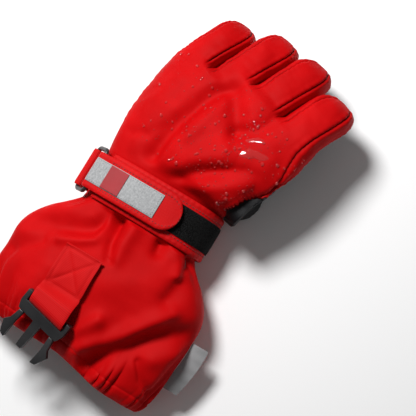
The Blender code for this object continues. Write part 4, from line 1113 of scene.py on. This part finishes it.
def make_cuff(materials):
    """The cuff's outer panels, its lining, the gathered hem, which is a rounded profile carried round the cuff, and
    the elastics of the hem and the wrist."""
    v = arc(HEM_SEAM_V, SEAM_V, 142)[:, None]
    for name, low, high, node in (("cuff_back_cloth", 0.0, math.pi, "cuff_back_shell"),
                                  ("cuff_palm_cloth", math.pi, 2 * math.pi, "cuff_palm_shell")):
        made = cloth_piece(name, [cuff(v, arc(low, high, 220)[None, :])], 0.9, materials["shell"])
        goes_on(made, "hand", [node])
    around = arc(0.0, 2 * math.pi, 260)[None, :]
    lining = cloth_piece("cuff_lining_cloth", [cuff(arc(HEM_SEAM_V, SEAM_V, 70)[:, None], around, 2.9)], 0.8,
                         materials["lining"])
    goes_on(lining, "hand", ["cuff_lining"])
    loop = np.array(HEM_PROFILE + HEM_PROFILE[:1])
    steps = np.linspace(0, len(loop) - 1, 76)
    hem_v = np.interp(steps, np.arange(len(loop)), loop[:, 0])
    hem_depth = np.interp(steps, np.arange(len(loop)), loop[:, 1])
    phi = arc(0.0, 2 * math.pi, 441)[:-1]
    hem = np.stack([cuff(np.full_like(phi, a), phi, b) for a, b in zip(hem_v[:-1], hem_depth[:-1])])
    made = face_outwards(swept_piece("gathered_hem", np.moveaxis(hem, 0, 1), materials["shell"], closed=True))
    goes_on(made, "hand", ["hem_channel"])
    band = cloth_piece("hem_elastic_band", [cuff(arc(-108.4, -102.6, 8)[:, None], around, 1.35)], 1.2,
                       materials["elastic"])
    goes_on(band, "hand", ["hem_elastic"])
    inside = cloth_piece("wrist_elastic_band", [cuff(arc(-5.0, 5.0, 12)[:, None], arc(3.6, 5.9, 90)[None, :], 1.5)],
                         1.0, materials["elastic"])
    goes_on(inside, "hand", ["wrist_elastic"])


# ---------------------------------------------------------------- the thumb

THUMB_ROOT_RADIUS = 16.0
THUMB_LENGTH = 46.0
THUMB_TIP_HALF = 12.5
THUMB_HALF_HEIGHT = 11.0
THUMB_TURN = math.radians(24.0)


def thumb_surface(along, phi, depth=0.0):
    """The thumb's surface. along runs from -1 at the back of its round root to 2 at its tip: each end is a dome
    whose width and height follow superellipses, and the sides taper between them."""
    swing = PIVOTS["thumb"]
    root_dome = np.clip(-along, 0.0, 1.0) * math.pi / 2
    tip_dome = np.clip(along - 1.0, 0.0, 1.0) * math.pi / 2
    straight = np.clip(along, 0.0, 1.0)
    y = (THUMB_LENGTH - FINGER_DOME) * straight - (THUMB_ROOT_RADIUS - depth) * np.sin(root_dome) ** (2 / 2.2)
    y = y + (FINGER_DOME - depth) * np.sin(tip_dome) ** (2 / 2.3)
    wide = np.clip(np.cos(root_dome) * np.cos(tip_dome), 0.0, 1.0)
    wide = np.where(wide < 1e-7, 0.0, wide)
    a = (THUMB_ROOT_RADIUS + (THUMB_TIP_HALF - THUMB_ROOT_RADIUS) * straight - depth) * wide ** (2 / 2.4)
    b = (THUMB_HALF_HEIGHT - depth) * wide ** (2 / 2.1)
    cos, sin = np.cos(phi), np.sin(phi)
    u = signed_power(cos, 2 / FINGER_OVAL)
    w = signed_power(sin, 2 / FINGER_OVAL)
    around = mirrored(phi) * 13.0
    soft = 0.4 * rippled(y + 0 * phi, around, 16.0, 51) + 0.12 * rippled(y + 0 * phi, around, 5.0, 52)
    edge = np.minimum(np.abs(phi), np.abs(phi - math.pi))
    edge = np.minimum(edge, np.abs(phi - 2 * math.pi)) * 14.0
    marks = seam_marks(edge, y + 0 * phi, 1.0, 7)
    soft = (soft + marks[..., 0]) * np.minimum(wide * 2.5, 1.0)
    x = a * u + cos * soft
    z = THUMB_HALF_HEIGHT - FLOOR_SINK / 2 + b * w + sin * soft
    turned_x = x * math.cos(THUMB_TURN) - y * math.sin(THUMB_TURN)
    turned_y = x * math.sin(THUMB_TURN) + y * math.cos(THUMB_TURN)
    return np.stack([turned_x + swing[0], turned_y + swing[1], np.maximum(z, depth + 0.05)], -1)


def make_thumb(materials):
    """The thumb's two panels, wadding and lining, all from one surface, and the folded cloth round its root: a
    cylinder whose radius waves twice on its way up."""
    along = np.concatenate([arc(-1.0, 0.0, 26)[:-1], arc(0.0, 1.0, 42)[:-1], arc(1.0, 2.0, 26)])[:, None]
    for part, low, high in (("palm_panel", 0.0, math.pi), ("back_panel", math.pi, 2 * math.pi)):
        grid = thumb_surface(along, arc(low, high, 60)[None, :])
        made = cloth_piece(f"thumb_{part}_cloth", [grid], SHELL_THICKNESS, materials["palm"])
        goes_on(made, "thumb", [f"thumb_{part}"])
    coarse = np.concatenate([arc(-1.0, 0.0, 12)[:-1], arc(0.0, 1.0, 16)[:-1], arc(1.0, 2.0, 12)])[:, None]
    wadding = ("wadding", 2.0, WADDING_THICKNESS, "wadding", "white_wadding")
    for part, depth, thickness, finish, slot in (wadding, LINING):
        grid = thumb_surface(coarse, arc(0.0, 2 * math.pi, 48)[None, :], depth)
        made = cloth_piece(f"thumb_{part}_layer", [grid], thickness, materials[finish])
        goes_on(made, "thumb", [f"thumb_{part}"])
    x, y, _ = PIVOTS["thumb"]
    phi = arc(0.0, 2 * math.pi, 73)[None, :]
    share = arc(0.0, 1.0, 26)[:, None]
    radius = 14.6 - 0.9 * share + 0.5 * np.cos(share * 4 * math.pi)
    radius = radius + 0.2 * np.sin(phi * 9.0) * np.sin(share * math.pi)
    rise = 14.0 + 11.0 * share + 0.2 * radius * np.cos(phi) * share
    gusset = np.stack([x + radius * np.cos(phi), y + radius * np.sin(phi), rise], -1)
    made = cloth_piece("thumb_gusset", [gusset], 0.9, materials["palm"])
    goes_on(made, "thumb")


# ---------------------------------------------------------------- the strap

TAB_TIP_W = 22.0
TAB_WIDTH = 25.0
TAB_OFFSET = 5.05  # of the middle of the tab's cloth above the wrist
BAND_WIDTH = 31.0
RING_OFFSET = 5.2
RING_WIRE = 1.5
RING_ANGLES = (math.radians(166), math.radians(140))


def wrist_outline(angle, offset):
    """Width and height of a point at this height above the wrist's oval."""
    middle = (WRIST_HEIGHT - FLOOR_SINK) / 2
    tall = (WRIST_HEIGHT + FLOOR_SINK) / 2
    cos, sin = np.cos(angle), np.sin(angle)
    power = 2 / OVAL
    w = (WRIST_HALF_WIDTH + offset) * signed_power(cos, power)
    return np.stack([w, middle + (tall + offset) * signed_power(sin, power)], -1)


def angle_at(w):
    """The angle of the wrist's oval at width w: the arc cosine of w over the half width, to the power that suits
    the oval."""
    return math.acos(math.copysign(abs(w / WRIST_HALF_WIDTH) ** (OVAL / 2), w))


def even_path(path, step=0.7):
    """The same path with its points evenly spaced."""
    lengths = length_to(path)
    at = np.linspace(0.0, lengths[-1], max(int(lengths[-1] / step), 4) + 1)
    return np.stack([np.interp(at, lengths, path[:, k]) for k in range(path.shape[1])], -1), at


def outward(path):
    """The direction to the left of each step of a path in the plane of width and height."""
    step = np.gradient(path, axis=0)
    step = step / np.linalg.norm(step, axis=1, keepdims=True)
    return np.stack([step[:, 1], -step[:, 0]], -1)


def on_wrist(w, z, v):
    """Points in space from widths, heights and distances along the wrist."""
    place = ACROSS_WRIST * np.asarray(w)[..., None] - CUFF_WAY * np.asarray(v)[..., None]
    return np.concatenate([place, np.asarray(z)[..., None]], -1)


def ribbon(name, path, half_widths, thickness, material, bulge=0.0, edge=0.0, waves=0.0, middle_v=0.0, square=7.0):
    """A flat band swept along a path: its section is a squarish superellipse. bulge raises its middle, edge
    thickens its borders as a binding does, and waves ripple the borders as stitching does."""
    normal = outward(path)
    psi = np.linspace(0.0, 2 * math.pi, 56, endpoint=False)
    a = signed_power(np.cos(psi), 2 / square)
    b = signed_power(np.sin(psi), 2 / 3.0)
    half = np.asarray(half_widths)[:, None]
    across = a[None, :] * half
    from_edge = half - np.abs(across)
    lengths = length_to(path)[:, None]
    border = bell(from_edge - 1.6, 1.5)
    crown = 1 - (across / np.maximum(half, 0.1)) ** 2
    tall = thickness / 2 * (1 + edge * border) + bulge * crown * (b[None, :] > 0)
    tall = tall * np.clip(half / 1.2, 0.05, 1.0)
    wave = waves * np.sin(lengths * 2 * math.pi / 4.1 + np.sign(across)) * border
    height = b[None, :] * tall + wave
    w = path[:, 0][:, None] + normal[:, 0][:, None] * height
    z = path[:, 1][:, None] + normal[:, 1][:, None] * height
    return face_outwards(swept_piece(name, on_wrist(w, z, across + middle_v), material))


def wrist_path(start, end, offset):
    """An evenly spaced path round the wrist between two angles, this high above it."""
    path = wrist_outline(np.linspace(start, end, 240), offset)
    return even_path(path)[0]


def wrist_normals(path):
    """The outward directions of a path round the wrist, as directions in space."""
    lift = outward(path)
    return on_wrist(lift[:, 0], lift[:, 1], np.zeros(len(path)))


def stitches(name, path, normals, material, length=1.9, pitch=2.7, radius=0.26):
    """A row of stitches: small capsules, each along its stretch of the path with its ends dipping into the cloth."""
    lengths = length_to(path)
    middles = np.arange(pitch / 2, lengths[-1], pitch)
    centre = np.stack([np.interp(middles, lengths, path[:, k]) for k in range(3)], -1)
    ahead = np.stack([np.interp(middles + 0.3, lengths, path[:, k]) for k in range(3)], -1)
    behind = np.stack([np.interp(middles - 0.3, lengths, path[:, k]) for k in range(3)], -1)
    up = np.stack([np.interp(middles, lengths, normals[:, k]) for k in range(3)], -1)
    along = ahead - behind
    along /= np.linalg.norm(along, axis=1, keepdims=True)
    up -= along * np.sum(up * along, axis=1, keepdims=True)
    up /= np.linalg.norm(up, axis=1, keepdims=True)
    across = np.cross(along, up)
    t = np.array([-1.0, -0.85, -0.4, 0.4, 0.85, 1.0])
    size = radius * np.array([0.15, 0.7, 1.0, 1.0, 0.7, 0.15])
    dip = -radius * 1.1 * t**2
    psi = np.arange(6) * math.pi / 3
    shape = (
        along[:, None, None] * (t * length / 2)[None, :, None, None]
        + up[:, None, None] * (dip[:, None] + size[:, None] * np.sin(psi)[None, :])[None, ..., None]
        + across[:, None, None] * (size[:, None] * np.cos(psi)[None, :])[None, ..., None]
    )
    points = centre[:, None, None] + shape
    faces = capped_tubes(len(t), len(psi), len(middles))
    uv = np.zeros((sum(map(len, faces)), 2))
    return face_outwards(object_of(name, points.reshape(-1, 3), faces, material, uv, 80.0))


def tab_outline(offset, inset):
    """The tab's path over the wrist, from under the ring's bar to its tip, and its half width: the tip is round."""
    start, tip = math.radians(131.0), angle_at(TAB_TIP_W)
    path = wrist_path(tip, start, offset)
    along = length_to(path)
    half = TAB_WIDTH / 2
    into = np.clip(along / half, 0.0, 1.0)
    widths = half * np.sqrt(np.clip(1 - (1 - into) ** 2.2, 0.0, 1.0)) - inset
    return path, along, widths


def tab_path(offset, first_w=TAB_TIP_W, last_turn=282.0):
    """The tab's way from its tip over the wrist and round the ring's bar, this high above the wrist."""
    bar = wrist_outline(RING_ANGLES[1], RING_OFFSET)
    turn = np.linspace(math.radians(96), math.radians(last_turn), 40)
    radius = RING_WIRE + 0.4 + 0.6 + offset - TAB_OFFSET
    fold_path = bar + radius * np.stack([np.cos(turn), np.sin(turn)], -1)
    return even_path(np.concatenate([wrist_path(angle_at(first_w), math.radians(129.0), offset), fold_path]))[0]


def make_tab(materials):
    """The strap's free end: a soft padded tab that turns round the ring's bar."""
    base = TAB_OFFSET - 0.75
    path, along, widths = tab_outline(TAB_OFFSET, 0.0)
    whole = tab_path(TAB_OFFSET)
    lengths = length_to(whole)
    half = np.maximum(np.interp(lengths, along, widths), 0.3)
    made = ribbon("strap_tab", whole, half, 1.5, materials["binding"], bulge=0.25, edge=0.45, waves=0.1)
    goes_on(made, "tab", ["tab_strap"])
    path, along, widths = tab_outline(base + 1.75, 2.9)
    keep = (widths > 0.15) & (along < along[-1] - 4.0)
    side = on_wrist(path[keep, 0], path[keep, 1], widths[keep])
    other = on_wrist(path[keep, 0], path[keep, 1], -widths[keep])
    line = np.concatenate([side[::-1], other])
    normal = wrist_normals(path)[keep]
    normals = np.concatenate([normal[::-1], normal])
    line, _ = even_path(np.concatenate([line, normals], axis=1), 0.5)
    made = stitches("tab_stitches_0", line[:, :3], line[:, 3:], materials["thread"], 1.5, 2.2, 0.3)
    goes_on(made, "tab")


def make_strap(materials):
    """The band and its loop tape, and on the tab the hook tape, the reflective band and the badge: all ribbons
    carried along paths over the wrist."""
    band = wrist_path(math.radians(-30), math.radians(135), 1.0)
    half = np.full(len(band), BAND_WIDTH / 2)
    made = ribbon("wrist_band", band, half, 1.3, materials["binding"], edge=0.75, waves=0.12)
    goes_on(made, "hand", ["strap_band"])
    for side in (-1, 1):
        line_v = side * (BAND_WIDTH / 2 - 4.2)
        path = wrist_path(math.radians(-28), angle_at(-30.0), 1.85)
        line = on_wrist(path[:, 0], path[:, 1], np.full(len(path), line_v))
        made = stitches(f"band_stitches_{side + 1}", line, wrist_normals(path), materials["thread"], 1.6, 2.4, 0.27)
        goes_on(made, "hand")
    loop = wrist_path(math.radians(-12), angle_at(-32.0), 2.2)
    made = ribbon("loop_pile_tape", loop, np.full(len(loop), 9.6), 1.0, materials["loop"], bulge=0.15)
    goes_on(made, "hand", ["loop_tape"])
    hook = wrist_path(angle_at(TAB_TIP_W - 6.5), angle_at(-32.0), 3.55)
    made = ribbon("hook_pile_tape", hook, np.full(len(hook), 8.0), 0.85, materials["loop"])
    goes_on(made, "tab", ["hook_tape"])
    shine = tab_path(TAB_OFFSET + 1.3, 8.0, 128.0)
    made = ribbon("reflective_band", shine, np.full(len(shine), 8.25), 0.55, materials["shine"], bulge=0.05)
    goes_on(made, "tab", ["reflective_tape"])
    badge = wrist_path(angle_at(-14.6), angle_at(-26.0), 6.95)
    made = ribbon("plain_sewn_badge", badge, np.full(len(badge), 7.9), 0.5, materials["badge"])
    goes_on(made, "tab", ["plain_badge"])
    lift, normal = outward(shine), wrist_normals(shine)
    across = np.linspace(-7.4, 7.4, 30)
    end_w, end_z = shine[2] + lift[2] * 0.3
    line = on_wrist(np.full_like(across, end_w), np.full_like(across, end_z), across)
    made = stitches("tape_end_stitches", line, np.tile(normal[2], (len(across), 1)), materials["dark_thread"],
                    1.1, 1.6, 0.16)
    goes_on(made, "tab")
    raised = shine + lift * 0.27
    for side in (-1, 1):
        line = on_wrist(raised[:, 0], raised[:, 1], np.full(len(shine), side * 7.5))
        made = stitches(f"tape_side_stitches_{side + 1}", line, normal, materials["dark_thread"], 1.1, 1.7, 0.13)
        goes_on(made, "tab")


def make_ring(materials):
    """The rectangular ring: a round wire carried round a rectangle with rounded corners."""
    anchored, strap_bar = (wrist_outline(a, RING_OFFSET) for a in RING_ANGLES)
    half = TAB_WIDTH / 2 + 0.8 + RING_WIRE
    span = strap_bar - anchored
    wide = float(np.linalg.norm(span))
    corner = 2.6
    turns = np.radians(np.linspace(0, 90, 10))
    outline = []
    for cx, cy, first in ((wide - corner, half - corner, 0), (corner, half - corner, 90),
                          (corner, corner - half, 180), (wide - corner, corner - half, 270)):
        angle = turns + math.radians(first)
        outline.append(np.stack([cx + corner * np.cos(angle), cy + corner * np.sin(angle)], -1))
    outline = np.concatenate(outline + [outline[0][:1]])
    outline, _ = even_path(outline, 0.8)
    outline = outline[:-1]
    ahead = np.roll(outline, -1, axis=0) - np.roll(outline, 1, axis=0)
    ahead /= np.linalg.norm(ahead, axis=1, keepdims=True)
    out = np.stack([ahead[:, 1], -ahead[:, 0]], -1)
    psi = np.linspace(0, 2 * math.pi, 20, endpoint=False)
    flat = outline[:, None, :] + out[:, None, :] * (np.cos(psi) * RING_WIRE)[None, :, None]
    rise = np.broadcast_to(np.sin(psi) * RING_WIRE * 0.96, flat.shape[:2])
    way = span / wide
    up = np.array([way[1], -way[0]])
    up = up if up[1] > 0 else -up
    w = anchored[0] + way[0] * flat[..., 0] + up[0] * rise
    z = anchored[1] + way[1] * flat[..., 0] + up[1] * rise
    made = face_outwards(swept_piece("moulded_ring", on_wrist(w, z, flat[..., 1]), materials["plastic"], closed=True))
    goes_on(made, "ring", ["strap_ring"])


def make_anchor(materials):
    """The ribbed loop sewn to the cuff's pinky side, round the ring's outer bar."""
    bar = wrist_outline(RING_ANGLES[0], RING_OFFSET)
    sewn = wrist_outline(np.linspace(math.radians(208), math.radians(186), 20), 1.0)
    turn = np.linspace(math.radians(196), math.radians(-28), 50)
    around = bar + (RING_WIRE + 0.95) * np.stack([np.cos(turn), np.sin(turn)], -1)
    path, _ = even_path(np.concatenate([sewn, around]))
    made = ribbon("anchor_loop", path, np.full(len(path), 13.0), 1.1, materials["webbing"], edge=0.2)
    goes_on(made, "hand", ["ring_anchor_loop"])


# ---------------------------------------------------------------- webbing, clip and label

PATCH_W = -15.0
WEBBING_HALF = 13.0
BUCKLE_BAR_V = -89.0
BUCKLE_SKEW = math.tan(math.radians(-12.0))
WEBBING_TOP_V = -47.5
LEAVES_CUFF_V = -83.0
WEBBING_COLUMNS = 40
LABEL_V = (-94.2, -60.8)
LABEL_REACH = 10.5


def height_on_cuff(v, w):
    """The cuff's height at distance v and width w, read back from its surface."""
    half = section(v)[4]
    c = np.clip(w / half, -0.999, 0.999)
    phi = np.arccos(signed_power(c, OVAL / 2))
    return cuff(v, phi)[..., 2]


PATCH_TOP_V = -49.5
PATCH_LOW_V = -74.0
PATCH_REACH = WEBBING_HALF - 2.0
BOX_CORNERS = ((PATCH_TOP_V, -PATCH_REACH), (PATCH_TOP_V, PATCH_REACH), (PATCH_LOW_V, PATCH_REACH),
               (PATCH_LOW_V, -PATCH_REACH))
BOX_LINES = ((0, 1), (1, 2), (2, 3), (3, 0), (0, 2), (1, 3))


def webbing_quilting(v, w):
    """The webbing sinks along its box-and-cross stitching and pillows between the lines."""
    sunk = sum(fold(v, w, (BOX_CORNERS[a], BOX_CORNERS[b]), -0.5, 1.3) for a, b in BOX_LINES)
    return np.maximum(sunk, -0.75) + 0.35


def webbing_sheet():
    """The webbing's outer face from the patch's top edge, off the cuff, round the clip's bar and back beneath."""
    bar_z = PIVOTS["clip"][2]
    flat_v = np.linspace(WEBBING_TOP_V, LEAVES_CUFF_V, 60)
    side = np.linspace(-1.0, 1.0, WEBBING_COLUMNS)
    v, s = np.meshgrid(flat_v, side, indexing="ij")
    rest = height_on_cuff(v, PATCH_W + s * WEBBING_HALF) + 2.3 + webbing_quilting(v, s * WEBBING_HALF)
    leave = ease((-75.5 - v) / 8.0)
    radius = 1.6 + 0.4 + 1.6
    z = rest * (1 - leave) + np.maximum(bar_z + radius - 0.4, rest) * leave
    angle = np.radians(np.linspace(90, 285, 34))
    turn_v = BUCKLE_BAR_V + radius * np.cos(angle)
    turn_z = bar_z + radius * np.sin(angle)
    bridge = np.linspace(LEAVES_CUFF_V, BUCKLE_BAR_V, 10)[1:-1]
    bridge_z = np.linspace(0.0, 1.0, 10)[1:-1]
    rows_v = np.concatenate([flat_v, bridge, turn_v])
    rows_z = np.concatenate([z, z[-1][None] + (turn_z[0] - z[-1][None]) * ease(bridge_z)[:, None],
                             np.repeat(turn_z[:, None], WEBBING_COLUMNS, axis=1)])
    skew = BUCKLE_SKEW * ease((-77.0 - rows_v) / 11.0)
    skew[len(flat_v) + len(bridge):] = BUCKLE_SKEW
    v_all = rows_v[:, None] + side[None, :] * WEBBING_HALF * skew[:, None]
    w_all = np.broadcast_to(PATCH_W + side[None, :] * WEBBING_HALF, v_all.shape)
    return on_wrist(w_all, rows_z, v_all)


def make_webbing(materials):
    """The clip's webbing, and a row of stitches on each line of its box and cross."""
    sheet = webbing_sheet()
    from_edge = WEBBING_HALF - np.abs(np.linspace(-WEBBING_HALF, WEBBING_HALF, WEBBING_COLUMNS))
    rounded = 1.0 - np.exp(-(from_edge / 0.5))
    sheet[..., 2] -= 0.35 * (1 - rounded)[None, :]
    made = face_outwards(cloth_piece("webbing_strap", [sheet[:, ::-1]], 1.5, materials["webbing"]))
    goes_on(made, "hand", ["clip_webbing"])
    for k, (first, last) in enumerate(BOX_LINES):
        (v0, w0), (v1, w1) = BOX_CORNERS[first], BOX_CORNERS[last]
        share = np.linspace(0.0, 1.0, 60)
        v, w = v0 + (v1 - v0) * share, w0 + (w1 - w0) * share
        z = height_on_cuff(v, PATCH_W + w) + 2.42 + webbing_quilting(v, w)
        line = on_wrist(PATCH_W + w, z, v)
        normal = np.tile(np.array([0.0, 0.0, 1.0]), (60, 1))
        made = stitches(f"webbing_stitches_{k}", line, normal, materials["thread"], 1.5, 2.1, 0.3)
        goes_on(made, "hand")


def rounded_copy(node, name, width, material, body):
    """The CAD node's own shape with its loose triangles merged and every hard edge rounded over."""
    source = frame["nodes"][node]
    mesh = source.data.copy()
    mesh.name = name
    made = bpy.data.objects.new(name, mesh)
    bpy.context.scene.collection.objects.link(made)
    weld = made.modifiers.new("merged points", "WELD")
    weld.merge_threshold = 0.00001
    round_over = made.modifiers.new("rounded edges", "BEVEL")
    round_over.width = width * MM
    round_over.segments = 3
    round_over.limit_method = "ANGLE"
    round_over.angle_limit = math.radians(28)
    round_over.use_clamp_overlap = True
    mesh.materials.clear()
    mesh.materials.append(material)
    graph = bpy.context.evaluated_depsgraph_get()
    final = bpy.data.meshes.new_from_object(made.evaluated_get(graph))
    made.modifiers.clear()
    made.data = final
    final.shade_smooth()
    final.set_sharp_from_angle(angle=math.radians(35))
    goes_on(made, body, [node])


def make_clip(materials):
    """The clip's three mouldings."""
    for node, body, width in (("clip_frame", "clip", 0.55), ("clip_prong_left", "prong_left", 0.5),
                              ("clip_prong_right", "prong_right", 0.5)):
        rounded_copy(node, f"{node}_moulding", width, materials["plastic"], body)


def make_label(materials):
    """The grey side label: a satin strip sewn into the seam, a little curled along its free edge."""
    v = np.linspace(*LABEL_V, 70)[:, None]
    out = np.linspace(-0.6, LABEL_REACH, 26)[None, :]
    v, out = np.broadcast_arrays(v, out)
    _, x, y, turn, half, low, top, _ = section(v)
    middle = (low + top) / 2 - 1.0
    reach = half + out + 1.0
    share = np.maximum(out, 0.0) / LABEL_REACH
    z = middle - 2.4 * share**1.5 + 0.5 * np.sin((v + 78.0) * 0.11) * share + 0.15 * np.sin(v * 0.9) * share
    sheet = np.stack([x + reach * np.cos(turn), y + reach * np.sin(turn), z], -1)
    made = face_outwards(cloth_piece("satin_label", [sheet], 0.55, materials["satin"]))
    goes_on(made, "hand", ["side_tag"])


# ---------------------------------------------------------------- water on the shell


def hand_point(name, v, phi):
    """Points and outward directions on the hand's upper side, from small steps along and across it."""

    def at(dv, dp):
        return strip(name, full_rows(v + dv), (phi + dp)[:, None], 1)[:, 0, :3]

    here = at(0.0, 0.0)
    up = at(0.3, 0.0) - here
    across = at(0.0, 0.02) - here
    normal = np.cross(up, across)
    return here, normal / np.linalg.norm(normal, axis=1, keepdims=True)


def bead_mesh(name, centres, normals, radii, material, seed):
    """Water beads: each is a low dome, wider than it is high, whose skirt sinks a little into the cloth."""
    chance = np.random.default_rng(seed)
    psi = np.arange(9) * 2 * math.pi / 9
    rise = np.array([-0.22, 0.16, 0.42, 0.62, 0.72])
    wide = np.array([0.96, 1.0, 0.84, 0.5, 0.12])
    side = np.cross(normals, np.array([0.31, 0.9, 0.2]))
    side /= np.linalg.norm(side, axis=1, keepdims=True)
    other = np.cross(normals, side)
    stretch = 1.0 + chance.uniform(-0.18, 0.25, len(radii))
    a = radii[:, None, None] * wide[None, :, None] * np.cos(psi)[None, None, :] * stretch[:, None, None]
    b = radii[:, None, None] * wide[None, :, None] * np.sin(psi)[None, None, :]
    h = radii[:, None, None] * rise[None, :, None] * np.ones_like(a)
    points = (
        centres[:, None, None] + side[:, None, None] * a[..., None] + other[:, None, None] * b[..., None]
        + normals[:, None, None] * h[..., None]
    )
    faces = capped_tubes(len(rise), len(psi), len(radii))
    return face_outwards(object_of(name, points.reshape(-1, 3), faces, material, None, 70.0))


def make_water(materials):
    """Beads scattered over the back of the hand, thickest in its middle, and two small puddles in the folds."""
    chance = np.random.default_rng(11)
    centres, normals, radii = [], [], []
    for name, count in (("index", 270), ("middle", 280), ("ring", 160), ("pinky", 75)):
        top = 97.0 if name in ("index", "middle") else 79.0
        v = chance.uniform(27.0, top, count)
        phi = chance.uniform(math.radians(22), math.radians(165), count)
        here, normal = hand_point(name, v, phi)
        size = 0.3 + 0.95 * chance.uniform(0, 1, count) ** 3.6
        keep = chance.uniform(0, 1, count) < 0.4 + 0.6 * np.exp(-(((here[:, 0] - 12.0) / 26.0) ** 2)
                                                                  - ((here[:, 1] - 68.0) / 26.0) ** 2)
        centres.append(here[keep])
        normals.append(normal[keep])
        radii.append(size[keep])
    made = bead_mesh("water_beads", np.concatenate(centres), np.concatenate(normals), np.concatenate(radii),
                     materials["water"], 5)
    goes_on(made, "hand")
    for name, centre, size, turn, seed in (("water_puddle_large", (16.5, 70.0), (7.2, 3.6), 0.7, 1),
                                           ("water_puddle_small", (10.5, 76.5), (4.6, 2.0), 1.0, 2)):
        made = puddle(name, centre, size, turn, seed, materials["water"])
        goes_on(made, "hand")


def puddle(name, centre, size, turn, seed, material):
    """A thin film of water in a fold: a low dome over an uneven ellipse laid on the cloth."""
    angle = np.linspace(0.0, 2 * math.pi, 72, endpoint=False)
    share = np.linspace(1.04, 0.1, 14)
    uneven = 1 + 0.22 * np.sin(2 * angle + seed) + 0.16 * np.sin(3 * angle + 2.1 * seed) + 0.07 * np.sin(7 * angle)
    reach = share[:, None] * uneven[None, :]
    along, across = size[0] * reach * np.cos(angle), size[1] * reach * np.sin(angle)
    x = centre[0] + along * math.cos(turn) - across * math.sin(turn)
    y = centre[1] + along * math.sin(turn) + across * math.cos(turn)
    v = y.ravel() + V_PAST_Y
    _, middle_x, _, _, half, *_ = section(v)
    middle, finger_half, *_ = FINGERS["index"]
    u = ((x.ravel() - middle_x) / half * HAND_HALF + HAND_MIDDLE_X - middle) / (finger_half + FINGER_GAP / 2)
    phi = np.arccos(np.clip(signed_power(u, FINGER_OVAL / 2), -1.0, 1.0))
    here, normal = hand_point("index", v, phi)
    rise = 0.75 * np.clip(1 - share**2, 0.0, 1.0) ** 0.5 - 0.15
    points = here + normal * np.repeat(rise, len(angle))[:, None]
    return face_outwards(object_of(name, points, capped_tubes(len(share), len(angle)), material, None, 70.0))


def main():
    """Builds every piece."""
    make_camera()
    make_surroundings()
    materials = make_materials()
    make_back_of_hand(materials)
    make_side_panel(materials)
    make_palm(materials)
    for name in FINGER_NAMES:
        make_finger(name, materials)
    make_inner_hand(materials)
    make_cuff(materials)
    make_thumb(materials)
    make_strap(materials)
    make_tab(materials)
    make_ring(materials)
    make_anchor(materials)
    make_webbing(materials)
    make_clip(materials)
    make_label(materials)
    make_water(materials)


main()
